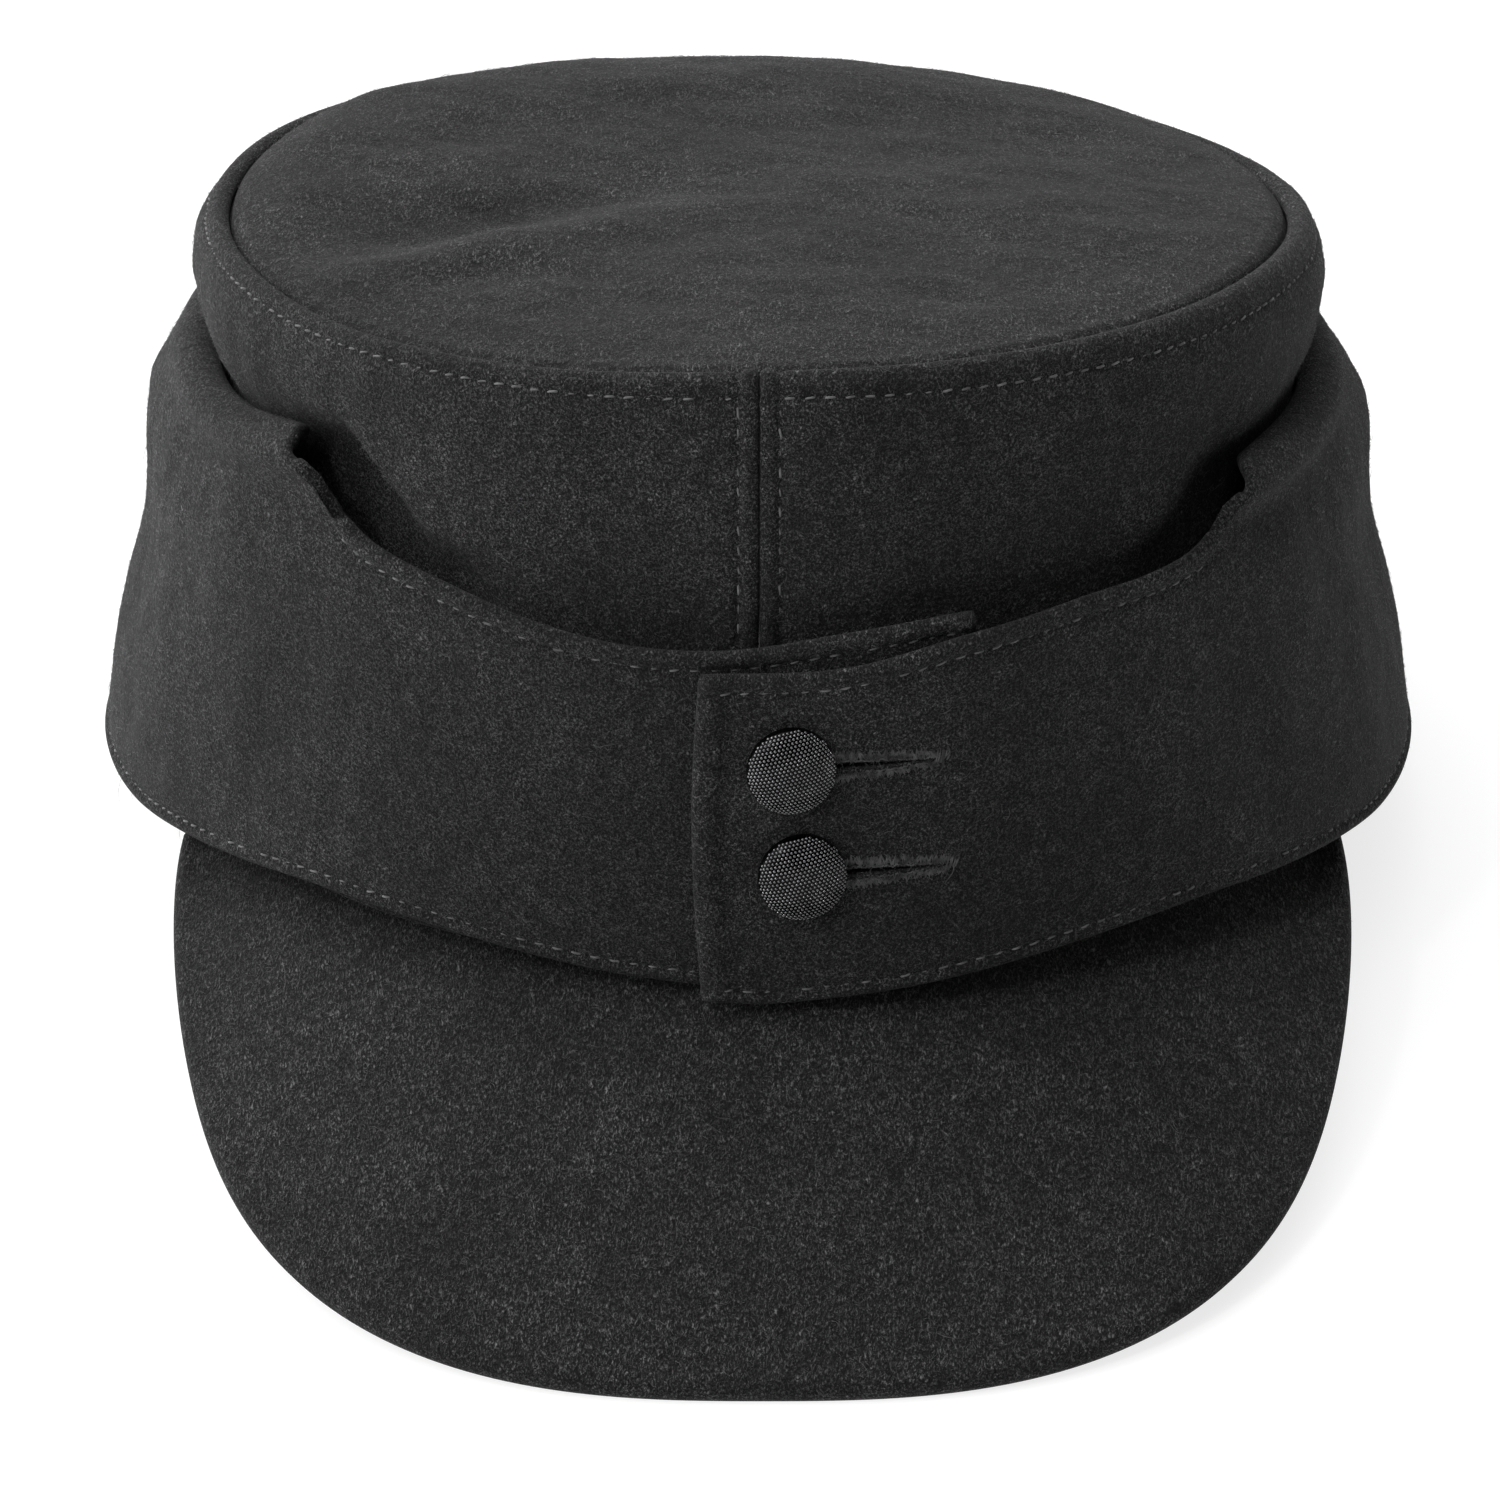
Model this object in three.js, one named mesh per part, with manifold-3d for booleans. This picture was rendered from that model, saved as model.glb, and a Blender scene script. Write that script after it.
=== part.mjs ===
// A wool field cap with a short peak and fold-up flaps that button over the front, in millimetres.
// In the cap's own frame +X is the wearer's left, +Y the back and +Z up, and z = 0 is the base of the crown.
// The whole cap then leans back a little, as it does on a table, on the rim at the back and the peak's edge.
import * as THREE from "three";
import { mergeVertices } from "three/addons/utils/BufferGeometryUtils.js";
import Module from "manifold-3d";

// Cloth and gaps
const CLOTH = 2.1;
const TOP_CLOTH = 2.2;
const PEAK_BOARD = 3.4;
const GAP = 0.3;
const LEG_GAP = 0.8;

// Crown: the outer surface of the wall, from its base to its widest line under the top seam
const OVAL_POWER = 2.05;
const CROWN_WALL = [
  { z: 0, half: 85.0, front: 103.0, back: 103.0 },
  { z: 20, half: 83.9, front: 102.2, back: 102.2 },
  { z: 36, half: 82.6, front: 101.4, back: 101.2 },
  { z: 50, half: 80.8, front: 100.5, back: 99.6 },
  { z: 60, half: 79.9, front: 99.8, back: 98.4 },
  { z: 66, half: 81.0, front: 99.6, back: 98.6 },
  { z: 72, half: 82.2, front: 99.2, back: 99.0 },
];
const RIM = { z: 72, inset: 4.0, rise: 8.83, turn: THREE.MathUtils.degToRad(115) };
const CROWN_ROWS = 9;
const RIM_ROWS = 5;
const CROWN_COLUMNS = 24;
const TOP_COLUMNS = 2 * CROWN_COLUMNS;

// How far the top seam rises or sags, by the angle from the front towards the wearer's left
const SEAM_SAG = [
  { angle: -180, rise: -4.8 },
  { angle: -155, rise: -4.3 },
  { angle: -140, rise: -2.3 },
  { angle: -125, rise: -0.2 },
  { angle: -105, rise: 0.4 },
  { angle: -85, rise: 0 },
  { angle: 60, rise: 0 },
  { angle: 80, rise: -0.8 },
  { angle: 100, rise: -2.8 },
  { angle: 125, rise: -4.8 },
  { angle: 150, rise: -5.6 },
  { angle: 180, rise: -4.8 },
];

// Top panel: it swells up from its seam, little at the front and more round the back, to a soft dome with its
// humps (rise above 0) and hollows, each one turned and stretched
const TOP_CENTRE_Z = 83.2;
const TOP_SWELL = [
  { angle: 0, rise: 1.0 },
  { angle: 60, rise: 1.4 },
  { angle: 90, rise: 3.4 },
  { angle: 120, rise: 4.6 },
  { angle: 180, rise: 4.6 },
];
const SWELL_REACH = 4;
const TOP_HUMPS = [
  { x: -42, y: 50, turn: 35, long: 40, wide: 22, rise: 2.8 },
  { x: 8, y: 58, turn: 0, long: 38, wide: 20, rise: 2.6 },
  { x: -52, y: -3, turn: 24, long: 30, wide: 9, rise: -1.9 },
  { x: -52, y: -24, turn: 24, long: 28, wide: 9, rise: 1.3 },
  { x: 52, y: 20, turn: -30, long: 30, wide: 16, rise: -1.2 },
];
// The panel's rings as shares of the way from its middle to the seam
const TOP_RINGS = [0.22, 0.42, 0.6, 0.76, 0.88, 0.95, 1];
const TOP_INSET = GAP * Math.SQRT2;

// Flaps: the outer surface of the hanging leg
const FLAP_POWER = 2.05;
const FLAP_MIDDLE_Y = 5.5;
const FLAP_LEG = [
  { z: 0, half: 97.6, back: 111.0 },
  { z: 6, half: 96.8, back: 110.4 },
  { z: 13, half: 95.6, back: 109.7 },
  { z: 20, half: 94.2, back: 109.1 },
  { z: 28, half: 92.0, back: 108.2 },
  { z: 34, half: 90.4, back: 107.5 },
  { z: 40, half: 89.8, back: 107.0 },
  { z: 46, half: 90.0, back: 106.7 },
  { z: 52, half: 89.2, back: 106.0 },
  { z: 57, half: 87.8, back: 105.0 },
];
const FLAP_BOTTOM = [
  { angle: 0, z: -2.5 },
  { angle: 11, z: -0.9 },
  { angle: 19, z: 0.8 },
  { angle: 28, z: 2.6 },
  { angle: 38, z: 3.6 },
  { angle: 46, z: 3.0 },
  { angle: 56, z: 1.8 },
  { angle: 66, z: 0.5 },
  { angle: 90, z: 0 },
  { angle: 180, z: 0 },
];
const INNER_EDGE = [
  { z: 0, angle: 32 },
  { z: 20, angle: 36 },
  { z: 40, angle: 42 },
  { z: 51, angle: 46 },
  { z: 57, angle: 48 },
  { z: 63, angle: 49 },
];
const FOLD_RADIUS = 1.4;
const FOLD_FADE_DEG = 9;
const LEAN_HEIGHT = 8;
const ROWS = { inner: 7, roll: 4, outer: 8 };
const COLUMNS = { front: 8, back: 17 };
const END_BOW_HEIGHT = 45;
const BUTTON_X = [4.0, 5.5];
const BUTTON_Z = [31.3, 16.4];

// The two flaps. Angles run from the front towards the flap's own side, and an end past the middle has x below 0.
// edge is the free top edge across the front, up to where the fold begins, and fold the height of the fold.
const FLAP_UNDER = {
  side: -1,
  front: 107.0,
  endX: () => -28.5,
  foldAngle: 49,
  innerShift: 0,
  frontLift: 1.0,
  edge: [
    { angle: -18, z: 50.2 },
    { angle: -7, z: 48.7 },
    { angle: 3, z: 46.9 },
    { angle: 13, z: 48.0 },
    { angle: 26, z: 52.2 },
    { angle: 36, z: 56.3 },
    { angle: 43, z: 59.4 },
    { angle: 49, z: 61.6 },
  ],
  fold: [
    { angle: 49, z: 61.6 },
    { angle: 90, z: 61.4 },
    { angle: 180, z: 59.5 },
  ],
};
const FLAP_OVER = {
  side: 1,
  front: 109.9,
  endX: (z) => -7.8 - 1.1 * Math.sin((Math.PI * THREE.MathUtils.clamp(z, 0, END_BOW_HEIGHT)) / END_BOW_HEIGHT),
  foldAngle: 51.5,
  innerShift: 2.5,
  frontLift: 0,
  edge: [
    { angle: -5, z: 44.7 },
    { angle: 7, z: 45.4 },
    { angle: 18, z: 48.2 },
    { angle: 30, z: 51.0 },
    { angle: 39, z: 53.6 },
    { angle: 46, z: 55.4 },
    { angle: 51.5, z: 57.0 },
  ],
  fold: [
    { angle: 51.5, z: 57.0 },
    { angle: 90, z: 57.2 },
    { angle: 180, z: 59.5 },
  ],
};

// Peak: its board's middle surface runs from the crown's base to a D-shaped edge
const PEAK = { half: 82.8, middleX: 0.6, backY: -42, tipY: -158.6, tipZ: -36.4, cornerZ: -2.9, power: 2.62 };
const PEAK_SEAT = { half: 83.6, front: 101.6, z: -2.1, angle: 66 };
const PEAK_COLUMNS = 26;
const PEAK_ROWS = 6;

// Buttons and buttonholes
const BUTTON = { radius: 5.95, dome: 2.1, edge: 0.7, back: 0.5, shank: 0.55 };
const BUTTON_STEPS = 5;
const BUTTON_SIDES = 28;
const BUTTONHOLE = { length: 22.5, width: 1.75, depth: 30 };

// Rest: the floor passes through these two places, a little above the lowest cloth at each
const REST_BACK = { y: 109, z: 0.65 };
const REST_PEAK = { y: -157.7, z: -37.0 };
const REST_TILT = Math.atan2(REST_BACK.z - REST_PEAK.z, REST_BACK.y - REST_PEAK.y);
const FLOOR_WIDTH = 600;
const FLOOR_DEPTH = 60;
// A small turn, in radians, for finding which way an oval runs
const AHEAD = 0.01;

const wasm = await Module();
wasm.setup();
const radians = THREE.MathUtils.degToRad;
const lerp = THREE.MathUtils.lerp;

// One column of a table at a place along its key column, on a smooth curve through the rows
function along(table, key, column, at) {
  const last = table.length - 1;
  if (at <= table[0][key]) return table[0][column];
  if (at >= table[last][key]) return table[last][column];
  const i = table.findIndex((row) => row[key] > at) - 1;
  const slopeAt = (j) => {
    const a = table[Math.max(0, j - 1)];
    const b = table[Math.min(last, j + 1)];
    return (b[column] - a[column]) / (b[key] - a[key]);
  };
  const [a, b] = [table[i], table[i + 1]];
  const run = b[key] - a[key];
  const t = (at - a[key]) / run;
  const ends = a[column] * (1 + 2 * t) * (1 - t) ** 2 + b[column] * t * t * (3 - 2 * t);
  return ends + run * t * (1 - t) * (slopeAt(i) * (1 - t) - slopeAt(i + 1) * t);
}

// A point of an oval with its middle at middleY, at an angle from the front towards +X
function ovalPoint(angle, half, front, back, z, power, middleY = 0) {
  const reach = Math.abs(angle) > Math.PI / 2 ? back - middleY : front + middleY;
  const bent = (value) => Math.sign(value) * Math.abs(value) ** (2 / power);
  return new THREE.Vector3(half * bent(Math.sin(angle)), middleY - reach * bent(Math.cos(angle)), z);
}

// The angle at which an oval has the given x
function angleOfX(x, half, power) {
  return Math.sign(x) * Math.asin(Math.abs(x / half) ** (power / 2));
}

// Turns a sheet, as vertices and faces with their outer side anticlockwise, into a closed solid.
// Its surfaces lie outer and inner away from the sheet along its normals.
function thicken(vertices, faces, outer, inner, place = (point) => point) {
  const normals = vertices.map(() => new THREE.Vector3());
  for (const face of faces) {
    const [a, b, c] = [face[0], face[1], face.at(-1)].map((i) => vertices[i]);
    const across = face.length > 3 ? vertices[face[2]].clone().sub(a) : b.clone().sub(a);
    const other = face.length > 3 ? c.clone().sub(b) : c.clone().sub(a);
    const normal = across.cross(other);
    for (const i of face) normals[i].add(normal);
  }
  const count = vertices.length;
  const points = [outer, -inner].flatMap((offset) =>
    vertices.map((v, i) => place(v.clone().addScaledVector(normals[i].normalize(), offset))),
  );
  const triangles = [];
  const edges = new Map();
  for (const face of faces) {
    for (let i = 1; i < face.length - 1; i++) {
      const [a, b, c] = [face[0], face[i], face[i + 1]];
      triangles.push(a, b, c, a + count, c + count, b + count);
    }
    face.forEach((a, i) => {
      const b = face[(i + 1) % face.length];
      if (!edges.delete(`${b},${a}`)) edges.set(`${a},${b}`, [a, b]);
    });
  }
  for (const [a, b] of edges.values()) triangles.push(b, a, a + count, b, a + count, b + count);
  const geometry = new THREE.BufferGeometry().setFromPoints(points);
  geometry.setIndex(triangles);
  return geometry;
}

// The cells of a grid of vertices, row by row, where keep says so
function gridFaces(rows, columns, keep = () => true) {
  const faces = [];
  for (let j = 0; j < rows; j++)
    for (let k = 0; k < columns; k++) {
      const a = j * (columns + 1) + k;
      if (keep(j, k)) faces.push([a, a + 1, a + columns + 2, a + columns + 1]);
    }
  return faces;
}

// Turns faces over where a sheet is drawn towards -X
const turned = (faces, side) => (side > 0 ? faces : faces.map((face) => face.toReversed()));

function solidOf(geometry) {
  const bare = geometry.clone();
  bare.deleteAttribute("normal");
  bare.deleteAttribute("uv");
  const merged = mergeVertices(bare, 1e-4);
  const vertProperties = new Float32Array(merged.attributes.position.array);
  return new wasm.Manifold(
    new wasm.Mesh({ numProp: 3, vertProperties, triVerts: new Uint32Array(merged.index.array) }),
  );
}

function cut(geometry, cutters) {
  let solid = solidOf(geometry);
  for (const cutter of cutters) solid = solid.subtract(solidOf(cutter));
  const { vertProperties, triVerts } = solid.getMesh();
  const result = new THREE.BufferGeometry();
  result.setAttribute("position", new THREE.BufferAttribute(vertProperties, 3));
  result.setIndex(new THREE.BufferAttribute(triVerts, 1));
  result.computeVertexNormals();
  return result;
}

function crownPoint(angle, z) {
  const [half, front, back] = ["half", "front", "back"].map((c) => along(CROWN_WALL, "z", c, z));
  return ovalPoint(angle, half, front, back, z, OVAL_POWER);
}

const seamRise = (angle) => along(SEAM_SAG, "angle", "rise", THREE.MathUtils.radToDeg(angle));

// A point on the crown's rounded rim, from the wall's widest line (turn 0) to the top seam
function rimPoint(angle, turn) {
  const inset = RIM.inset * (1 - Math.cos(turn));
  const [half, front, back] = ["half", "front", "back"].map((c) => CROWN_WALL.at(-1)[c] - inset);
  return ovalPoint(angle, half, front, back, RIM.z + RIM.rise * Math.sin(turn), OVAL_POWER);
}

function crownSide(side) {
  const vertices = [];
  for (let j = 0; j <= CROWN_ROWS + RIM_ROWS; j++)
    for (let k = 0; k <= CROWN_COLUMNS; k++) {
      const angle = (side * Math.PI * k) / CROWN_COLUMNS;
      const onWall = j < CROWN_ROWS;
      const turn = (RIM.turn * (j - CROWN_ROWS)) / RIM_ROWS;
      const point = onWall ? crownPoint(angle, (RIM.z * j) / CROWN_ROWS) : rimPoint(angle, turn);
      point.z += seamRise(angle) * THREE.MathUtils.smoothstep(point.z, 50, 78);
      vertices.push(point);
    }
  const faces = turned(gridFaces(CROWN_ROWS + RIM_ROWS, CROWN_COLUMNS), side);
  return thicken(vertices, faces, 0, CLOTH, keepToSide(side));
}

// Keeps a half's ends half a gap off the middle plane, where it meets the other half
function keepToSide(side) {
  return (point) => point.setX(side * Math.max(GAP / 2, side * point.x));
}

function humpHeight(x, y) {
  return TOP_HUMPS.reduce((sum, hump) => {
    const turn = radians(hump.turn);
    const [dx, dy] = [x - hump.x, y - hump.y];
    const downIt = (dx * Math.cos(turn) + dy * Math.sin(turn)) / hump.long;
    const acrossIt = (dy * Math.cos(turn) - dx * Math.sin(turn)) / hump.wide;
    return sum + hump.rise * Math.exp(-downIt * downIt - acrossIt * acrossIt);
  }, 0);
}

function crownTop() {
  const vertices = [new THREE.Vector3(0, 0, TOP_CENTRE_Z + humpHeight(0, 0))];
  for (const share of TOP_RINGS)
    for (let k = 0; k < TOP_COLUMNS; k++) {
      const angle = -Math.PI + (2 * Math.PI * k) / TOP_COLUMNS;
      const seam = rimPoint(angle, RIM.turn);
      const reach = share * (1 - TOP_INSET / seam.length());
      const [x, y] = [seam.x * reach, seam.y * reach];
      const swell = along(TOP_SWELL, "angle", "rise", Math.abs(THREE.MathUtils.radToDeg(angle)));
      const fromSeam = Math.hypot(seam.x, seam.y) * (1 - share);
      const edgeZ = seam.z + seamRise(angle) + swell * (1 - Math.exp(-fromSeam / SWELL_REACH));
      const dome = lerp(TOP_CENTRE_Z, edgeZ, share ** 2);
      vertices.push(new THREE.Vector3(x, y, dome + humpHeight(x, y) * (1 - share ** 5)));
    }
  const faces = [];
  for (let k = 0; k < TOP_COLUMNS; k++) {
    const next = (k + 1) % TOP_COLUMNS;
    faces.push([0, 1 + k, 1 + next]);
    for (let j = 0; j < TOP_RINGS.length - 1; j++) {
      const [a, b] = [1 + j * TOP_COLUMNS, 1 + (j + 1) * TOP_COLUMNS];
      faces.push([a + k, b + k, b + next, a + next]);
    }
  }
  return thicken(vertices, faces, 0, TOP_CLOTH);
}

// A point of a flap's middle surface on its inner leg, at an angle towards the flap's own side
function innerLegPoint(angle, z) {
  const point = crownPoint(angle, z);
  const ahead = crownPoint(angle + AHEAD, z);
  const outward = new THREE.Vector3(ahead.y - point.y, point.x - ahead.x, 0).normalize();
  return point.addScaledVector(outward, LEG_GAP + CLOTH / 2);
}

// The same on its outer leg, where it hangs free of the fold
function outerLegPoint(flap, angle, z) {
  const [half, back] = ["half", "back"].map((c) => along(FLAP_LEG, "z", c, z) - CLOTH / 2);
  return ovalPoint(angle, half, flap.front - CLOTH / 2, back, z, FLAP_POWER, FLAP_MIDDLE_Y);
}

// A point of the roll from the inner leg (turn 0) over the top (half of pi) to the outer leg (pi)
function rollPoint(flap, angle, foldZ, turn) {
  const inner = innerLegPoint(angle, foldZ - FOLD_RADIUS);
  const outer = outerLegPoint(flap, angle, foldZ - FOLD_RADIUS);
  const outward = outer.sub(inner).setZ(0).normalize();
  inner.addScaledVector(outward, FOLD_RADIUS * (1 - Math.cos(turn)));
  return inner.setZ(foldZ - FOLD_RADIUS * (1 - Math.sin(turn)));
}

// The grid's columns run from the free end at the front to the back seam, and its rows from the bottom
// of the inner leg, over the fold, to the bottom of the outer leg
function flapGeometry(flap) {
  const rows = ROWS.inner + ROWS.roll + ROWS.outer;
  const columns = COLUMNS.front + COLUMNS.back;
  const apexRow = ROWS.inner + ROWS.roll / 2;
  const outerRow = ROWS.inner + ROWS.roll;
  const topZ = (degrees) => {
    const table = degrees < flap.foldAngle ? flap.edge : flap.fold;
    return along(table, "angle", "z", degrees);
  };
  const vertices = [];
  for (let j = 0; j <= rows; j++)
    for (let k = 0; k <= columns; k++)
      vertices.push(j < apexRow ? innerPoint(j, k) : outerPoint(j, k));

  function innerPoint(j, k) {
    const share = Math.max(0, k - COLUMNS.front) / COLUMNS.back;
    const backZ = topZ(lerp(flap.foldAngle, 180, share)) - FOLD_RADIUS;
    const z = lerp(GAP, backZ, Math.min(1, j / ROWS.inner));
    const upRoll = Math.max(0, j - ROWS.inner) / (ROWS.roll / 2);
    const legEdge = along(INNER_EDGE, "z", "angle", z) + flap.innerShift;
    const edgeAngle = lerp(legEdge, flap.foldAngle, upRoll);
    const angle = lerp(edgeAngle, 180, share);
    if (j < ROWS.inner) return innerLegPoint(radians(angle), z);
    return rollPoint(flap, radians(angle), backZ + FOLD_RADIUS, (upRoll * Math.PI) / 2);
  }

  function outerPoint(j, k) {
    const down = Math.max(0, j - outerRow) / ROWS.outer;
    const turn = (Math.PI * Math.min(j - ROWS.inner, ROWS.roll)) / ROWS.roll;
    const rowZ = (degrees) => {
      const top = topZ(degrees);
      const start = top - FOLD_RADIUS * (1 - Math.sin(turn));
      const lift = flap.frontLift * Math.max(0, Math.cos(radians(degrees)));
      return lerp(start, along(FLAP_BOTTOM, "angle", "z", Math.abs(degrees)) + lift, down);
    };
    let degrees = lerp(flap.foldAngle, 180, (k - COLUMNS.front) / COLUMNS.back);
    if (k < COLUMNS.front) {
      const z = rowZ(0);
      const half = along(FLAP_LEG, "z", "half", z) - CLOTH / 2;
      const end = THREE.MathUtils.radToDeg(angleOfX(flap.endX(z), half, FLAP_POWER));
      degrees = lerp(end, flap.foldAngle, k / COLUMNS.front);
    }
    const z = rowZ(degrees);
    const angle = radians(degrees);
    const free = outerLegPoint(flap, angle, z);
    const rolled = rollPoint(flap, angle, topZ(degrees), turn);
    const fade = THREE.MathUtils.smoothstep(degrees, flap.foldAngle - FOLD_FADE_DEG, flap.foldAngle);
    const belowRoll = topZ(degrees) - FOLD_RADIUS - z;
    const lean = turn < Math.PI ? 1 : Math.max(0, 1 - Math.max(0, belowRoll) / LEAN_HEIGHT) ** 2;
    return free.lerp(rolled.setZ(z), fade * lean);
  }

  for (const vertex of vertices) vertex.x *= flap.side;
  const faces = gridFaces(rows, columns, (j, k) => j >= apexRow || k >= COLUMNS.front);
  const keepOffSeam = keepToSide(flap.side);
  const place = (point) => (point.y > 0 ? keepOffSeam(point) : point);
  return thicken(vertices, turned(faces, flap.side), CLOTH / 2, CLOTH / 2, place);
}

// The slits that the buttons' shanks pass through, each starting at its button
function buttonholes() {
  return BUTTON_Z.map((z, i) => {
    const slit = new THREE.BoxGeometry(BUTTONHOLE.length, BUTTONHOLE.depth, BUTTONHOLE.width);
    const startX = BUTTON_X[i] - BUTTON.shank - GAP;
    return slit.translate(startX + BUTTONHOLE.length / 2, -FLAP_OVER.front, z);
  });
}

function peakGeometry() {
  const vertices = [];
  for (let j = 0; j <= PEAK_ROWS; j++)
    for (let k = 0; k <= PEAK_COLUMNS; k++) {
      const share = (2 * k) / PEAK_COLUMNS - 1;
      const seatAngle = radians(PEAK_SEAT.angle * share);
      const { half, front, z } = PEAK_SEAT;
      const seat = ovalPoint(seatAngle, half, front, front, z, OVAL_POWER);
      const edge = ovalPoint((share * Math.PI) / 2, PEAK.half, -PEAK.tipY, 0, 0, PEAK.power, PEAK.backY);
      edge.x += PEAK.middleX;
      const forward = (PEAK.backY - edge.y) / (PEAK.backY - PEAK.tipY);
      edge.z = lerp(PEAK.cornerZ, PEAK.tipZ, forward);
      vertices.push(seat.lerp(edge, j / PEAK_ROWS));
    }
  const faces = gridFaces(PEAK_ROWS, PEAK_COLUMNS).map((face) => face.toReversed());
  return thicken(vertices, faces, PEAK_BOARD / 2, PEAK_BOARD / 2);
}

// The y of a flap's outer surface at the front, at a place across it
function clothY(flap, x, z) {
  const half = along(FLAP_LEG, "z", "half", z);
  const reach = flap.front + FLAP_MIDDLE_Y;
  return FLAP_MIDDLE_Y - reach * Math.cos(angleOfX(x, half, FLAP_POWER)) ** (2 / FLAP_POWER);
}

// A domed button on its shank, along -Y from the shank's foot
function buttonGeometry(shankLength) {
  const { radius, dome, edge, back, shank } = BUTTON;
  const profile = [new THREE.Vector2(0, 0), new THREE.Vector2(shank, 0), new THREE.Vector2(shank, shankLength)];
  profile.push(new THREE.Vector2(radius - 1, shankLength), new THREE.Vector2(radius, shankLength + back));
  for (let i = 0; i <= BUTTON_STEPS; i++) {
    const angle = (Math.PI / 2) * (i / BUTTON_STEPS);
    const height = shankLength + back + edge + dome * Math.sin(angle);
    profile.push(new THREE.Vector2(i < BUTTON_STEPS ? radius * Math.cos(angle) : 0, height));
  }
  const geometry = new THREE.LatheGeometry(profile, BUTTON_SIDES);
  return geometry.rotateX(Math.PI);
}

function material(color, roughness, metalness) {
  return new THREE.MeshStandardMaterial({ color, roughness, metalness });
}

function piece(name, geometry, finish, parent) {
  const mesh = new THREE.Mesh(geometry, finish);
  mesh.name = name;
  parent.add(mesh);
  return mesh;
}

const wool = material(0x262627, 0.95, 0);
const buttonMetal = material(0x3a3a3c, 0.45, 0.8);

const part = new THREE.Group();
const cap = new THREE.Group();
part.add(cap);
cap.rotation.x = -REST_TILT;
const floorHeight = REST_BACK.y * Math.sin(REST_TILT) - REST_BACK.z * Math.cos(REST_TILT);
cap.position.z = floorHeight;
cap.updateMatrixWorld(true);

// Everything below the floor, in the cap's own frame
const belowFloor = new THREE.BoxGeometry(FLOOR_WIDTH, FLOOR_WIDTH, FLOOR_DEPTH).translate(0, 0, -FLOOR_DEPTH / 2);
belowFloor.applyMatrix4(cap.matrixWorld.clone().invert());

piece("crown_top", crownTop(), wool, cap);
piece("crown_side_left", crownSide(-1), wool, cap);
piece("crown_side_right", crownSide(1), wool, cap);
piece("flap_under", cut(flapGeometry(FLAP_UNDER), [belowFloor]), wool, cap);
piece("flap_over", cut(flapGeometry(FLAP_OVER), [belowFloor, ...buttonholes()]), wool, cap);
piece("peak", cut(peakGeometry(), [belowFloor]), wool, cap);
["button_upper", "button_lower"].forEach((name, i) => {
  const footY = clothY(FLAP_UNDER, BUTTON_X[i], BUTTON_Z[i]) - GAP;
  const faceY = clothY(FLAP_OVER, BUTTON_X[i], BUTTON_Z[i]) - GAP;
  const button = piece(name, buttonGeometry(footY - faceY), buttonMetal, cap);
  button.position.set(BUTTON_X[i], footY, BUTTON_Z[i]);
});

// The origin is on the floor under the middle of the cap's box
part.updateMatrixWorld(true);
const bounds = new THREE.Box3().setFromObject(part, true);
const middle = bounds.getCenter(new THREE.Vector3());
part.position.set(-middle.x, -middle.y, -bounds.min.z);

export default part;
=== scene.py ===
"""A black wool field cap: its cloth, stitches, nap, buttons and buttonholes, and the stage it stands on.

The shapes are worked out in millimetres in the cap's own frame, where +X is the wearer's left, +Y the back
and +Z up from the base of the crown. The cap then leans back a little, as it does on a table."""

import math
from types import SimpleNamespace

import bpy
import numpy as np
from bpy.props import FloatProperty, FloatVectorProperty, IntProperty, PointerProperty
from mathutils import Matrix, Vector


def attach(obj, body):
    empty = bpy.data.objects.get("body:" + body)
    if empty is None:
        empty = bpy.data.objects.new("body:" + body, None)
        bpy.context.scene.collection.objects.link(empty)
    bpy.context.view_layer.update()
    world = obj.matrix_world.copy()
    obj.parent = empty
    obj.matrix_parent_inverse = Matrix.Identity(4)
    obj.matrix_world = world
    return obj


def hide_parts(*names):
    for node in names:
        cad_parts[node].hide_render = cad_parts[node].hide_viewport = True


bl_info = {
    "name": "Field cap",
    "version": (1, 0, 0),
    "blender": (4, 5, 0),
    "location": "3D View > Sidebar > Field cap",
    "description": "Builds the cloth, stitches, nap and buttons of a wool field cap round its frame",
    "category": "Add Mesh",
}

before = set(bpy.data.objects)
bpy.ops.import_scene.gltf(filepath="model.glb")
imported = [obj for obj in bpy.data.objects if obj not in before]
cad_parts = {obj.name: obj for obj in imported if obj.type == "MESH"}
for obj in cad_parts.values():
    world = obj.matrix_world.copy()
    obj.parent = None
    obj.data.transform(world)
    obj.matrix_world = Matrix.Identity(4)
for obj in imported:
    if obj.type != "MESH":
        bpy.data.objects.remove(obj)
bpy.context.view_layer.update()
MM = 0.001


def table(names, rows):
    """A table as a dictionary of named columns."""
    return dict(zip(names.split(), np.array(rows, float).T))


# Cloth as a closed piece: its rounded edges, and the parts of the texture map that its two sides take
RIM_STEPS = 6
ROUNDING = 0.95
SEAM_ROUNDING = 0.65
END_ROUNDING = 1.35
TOP_MAP_ROOM = 2.2
MAP_SIZE = (0.96, 0.46)
MAP_CORNERS = ((0.02, 0.02), (0.02, 0.52))

# How far the lines of stitches lie from the edges that they hold, and the grooves that they pull in
SEAM_STITCH = 2.7
TOP_STITCH = table("angle off", [
    (-180, 4.2),
    (-50, 4.4),
    (-30, 4.9),
    (-5, 5.9),
    (50, 6.6),
    (90, 5.6),
    (180, 4.6),
])
EDGE_STITCH = ROUNDING + 1.55
EDGE_STITCH_ROW = 5
HEM_STITCH = 1.85
HEM_GROOVE = 0.35
GROOVE_WIDTH = 0.55
FAR = 1e3

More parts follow.
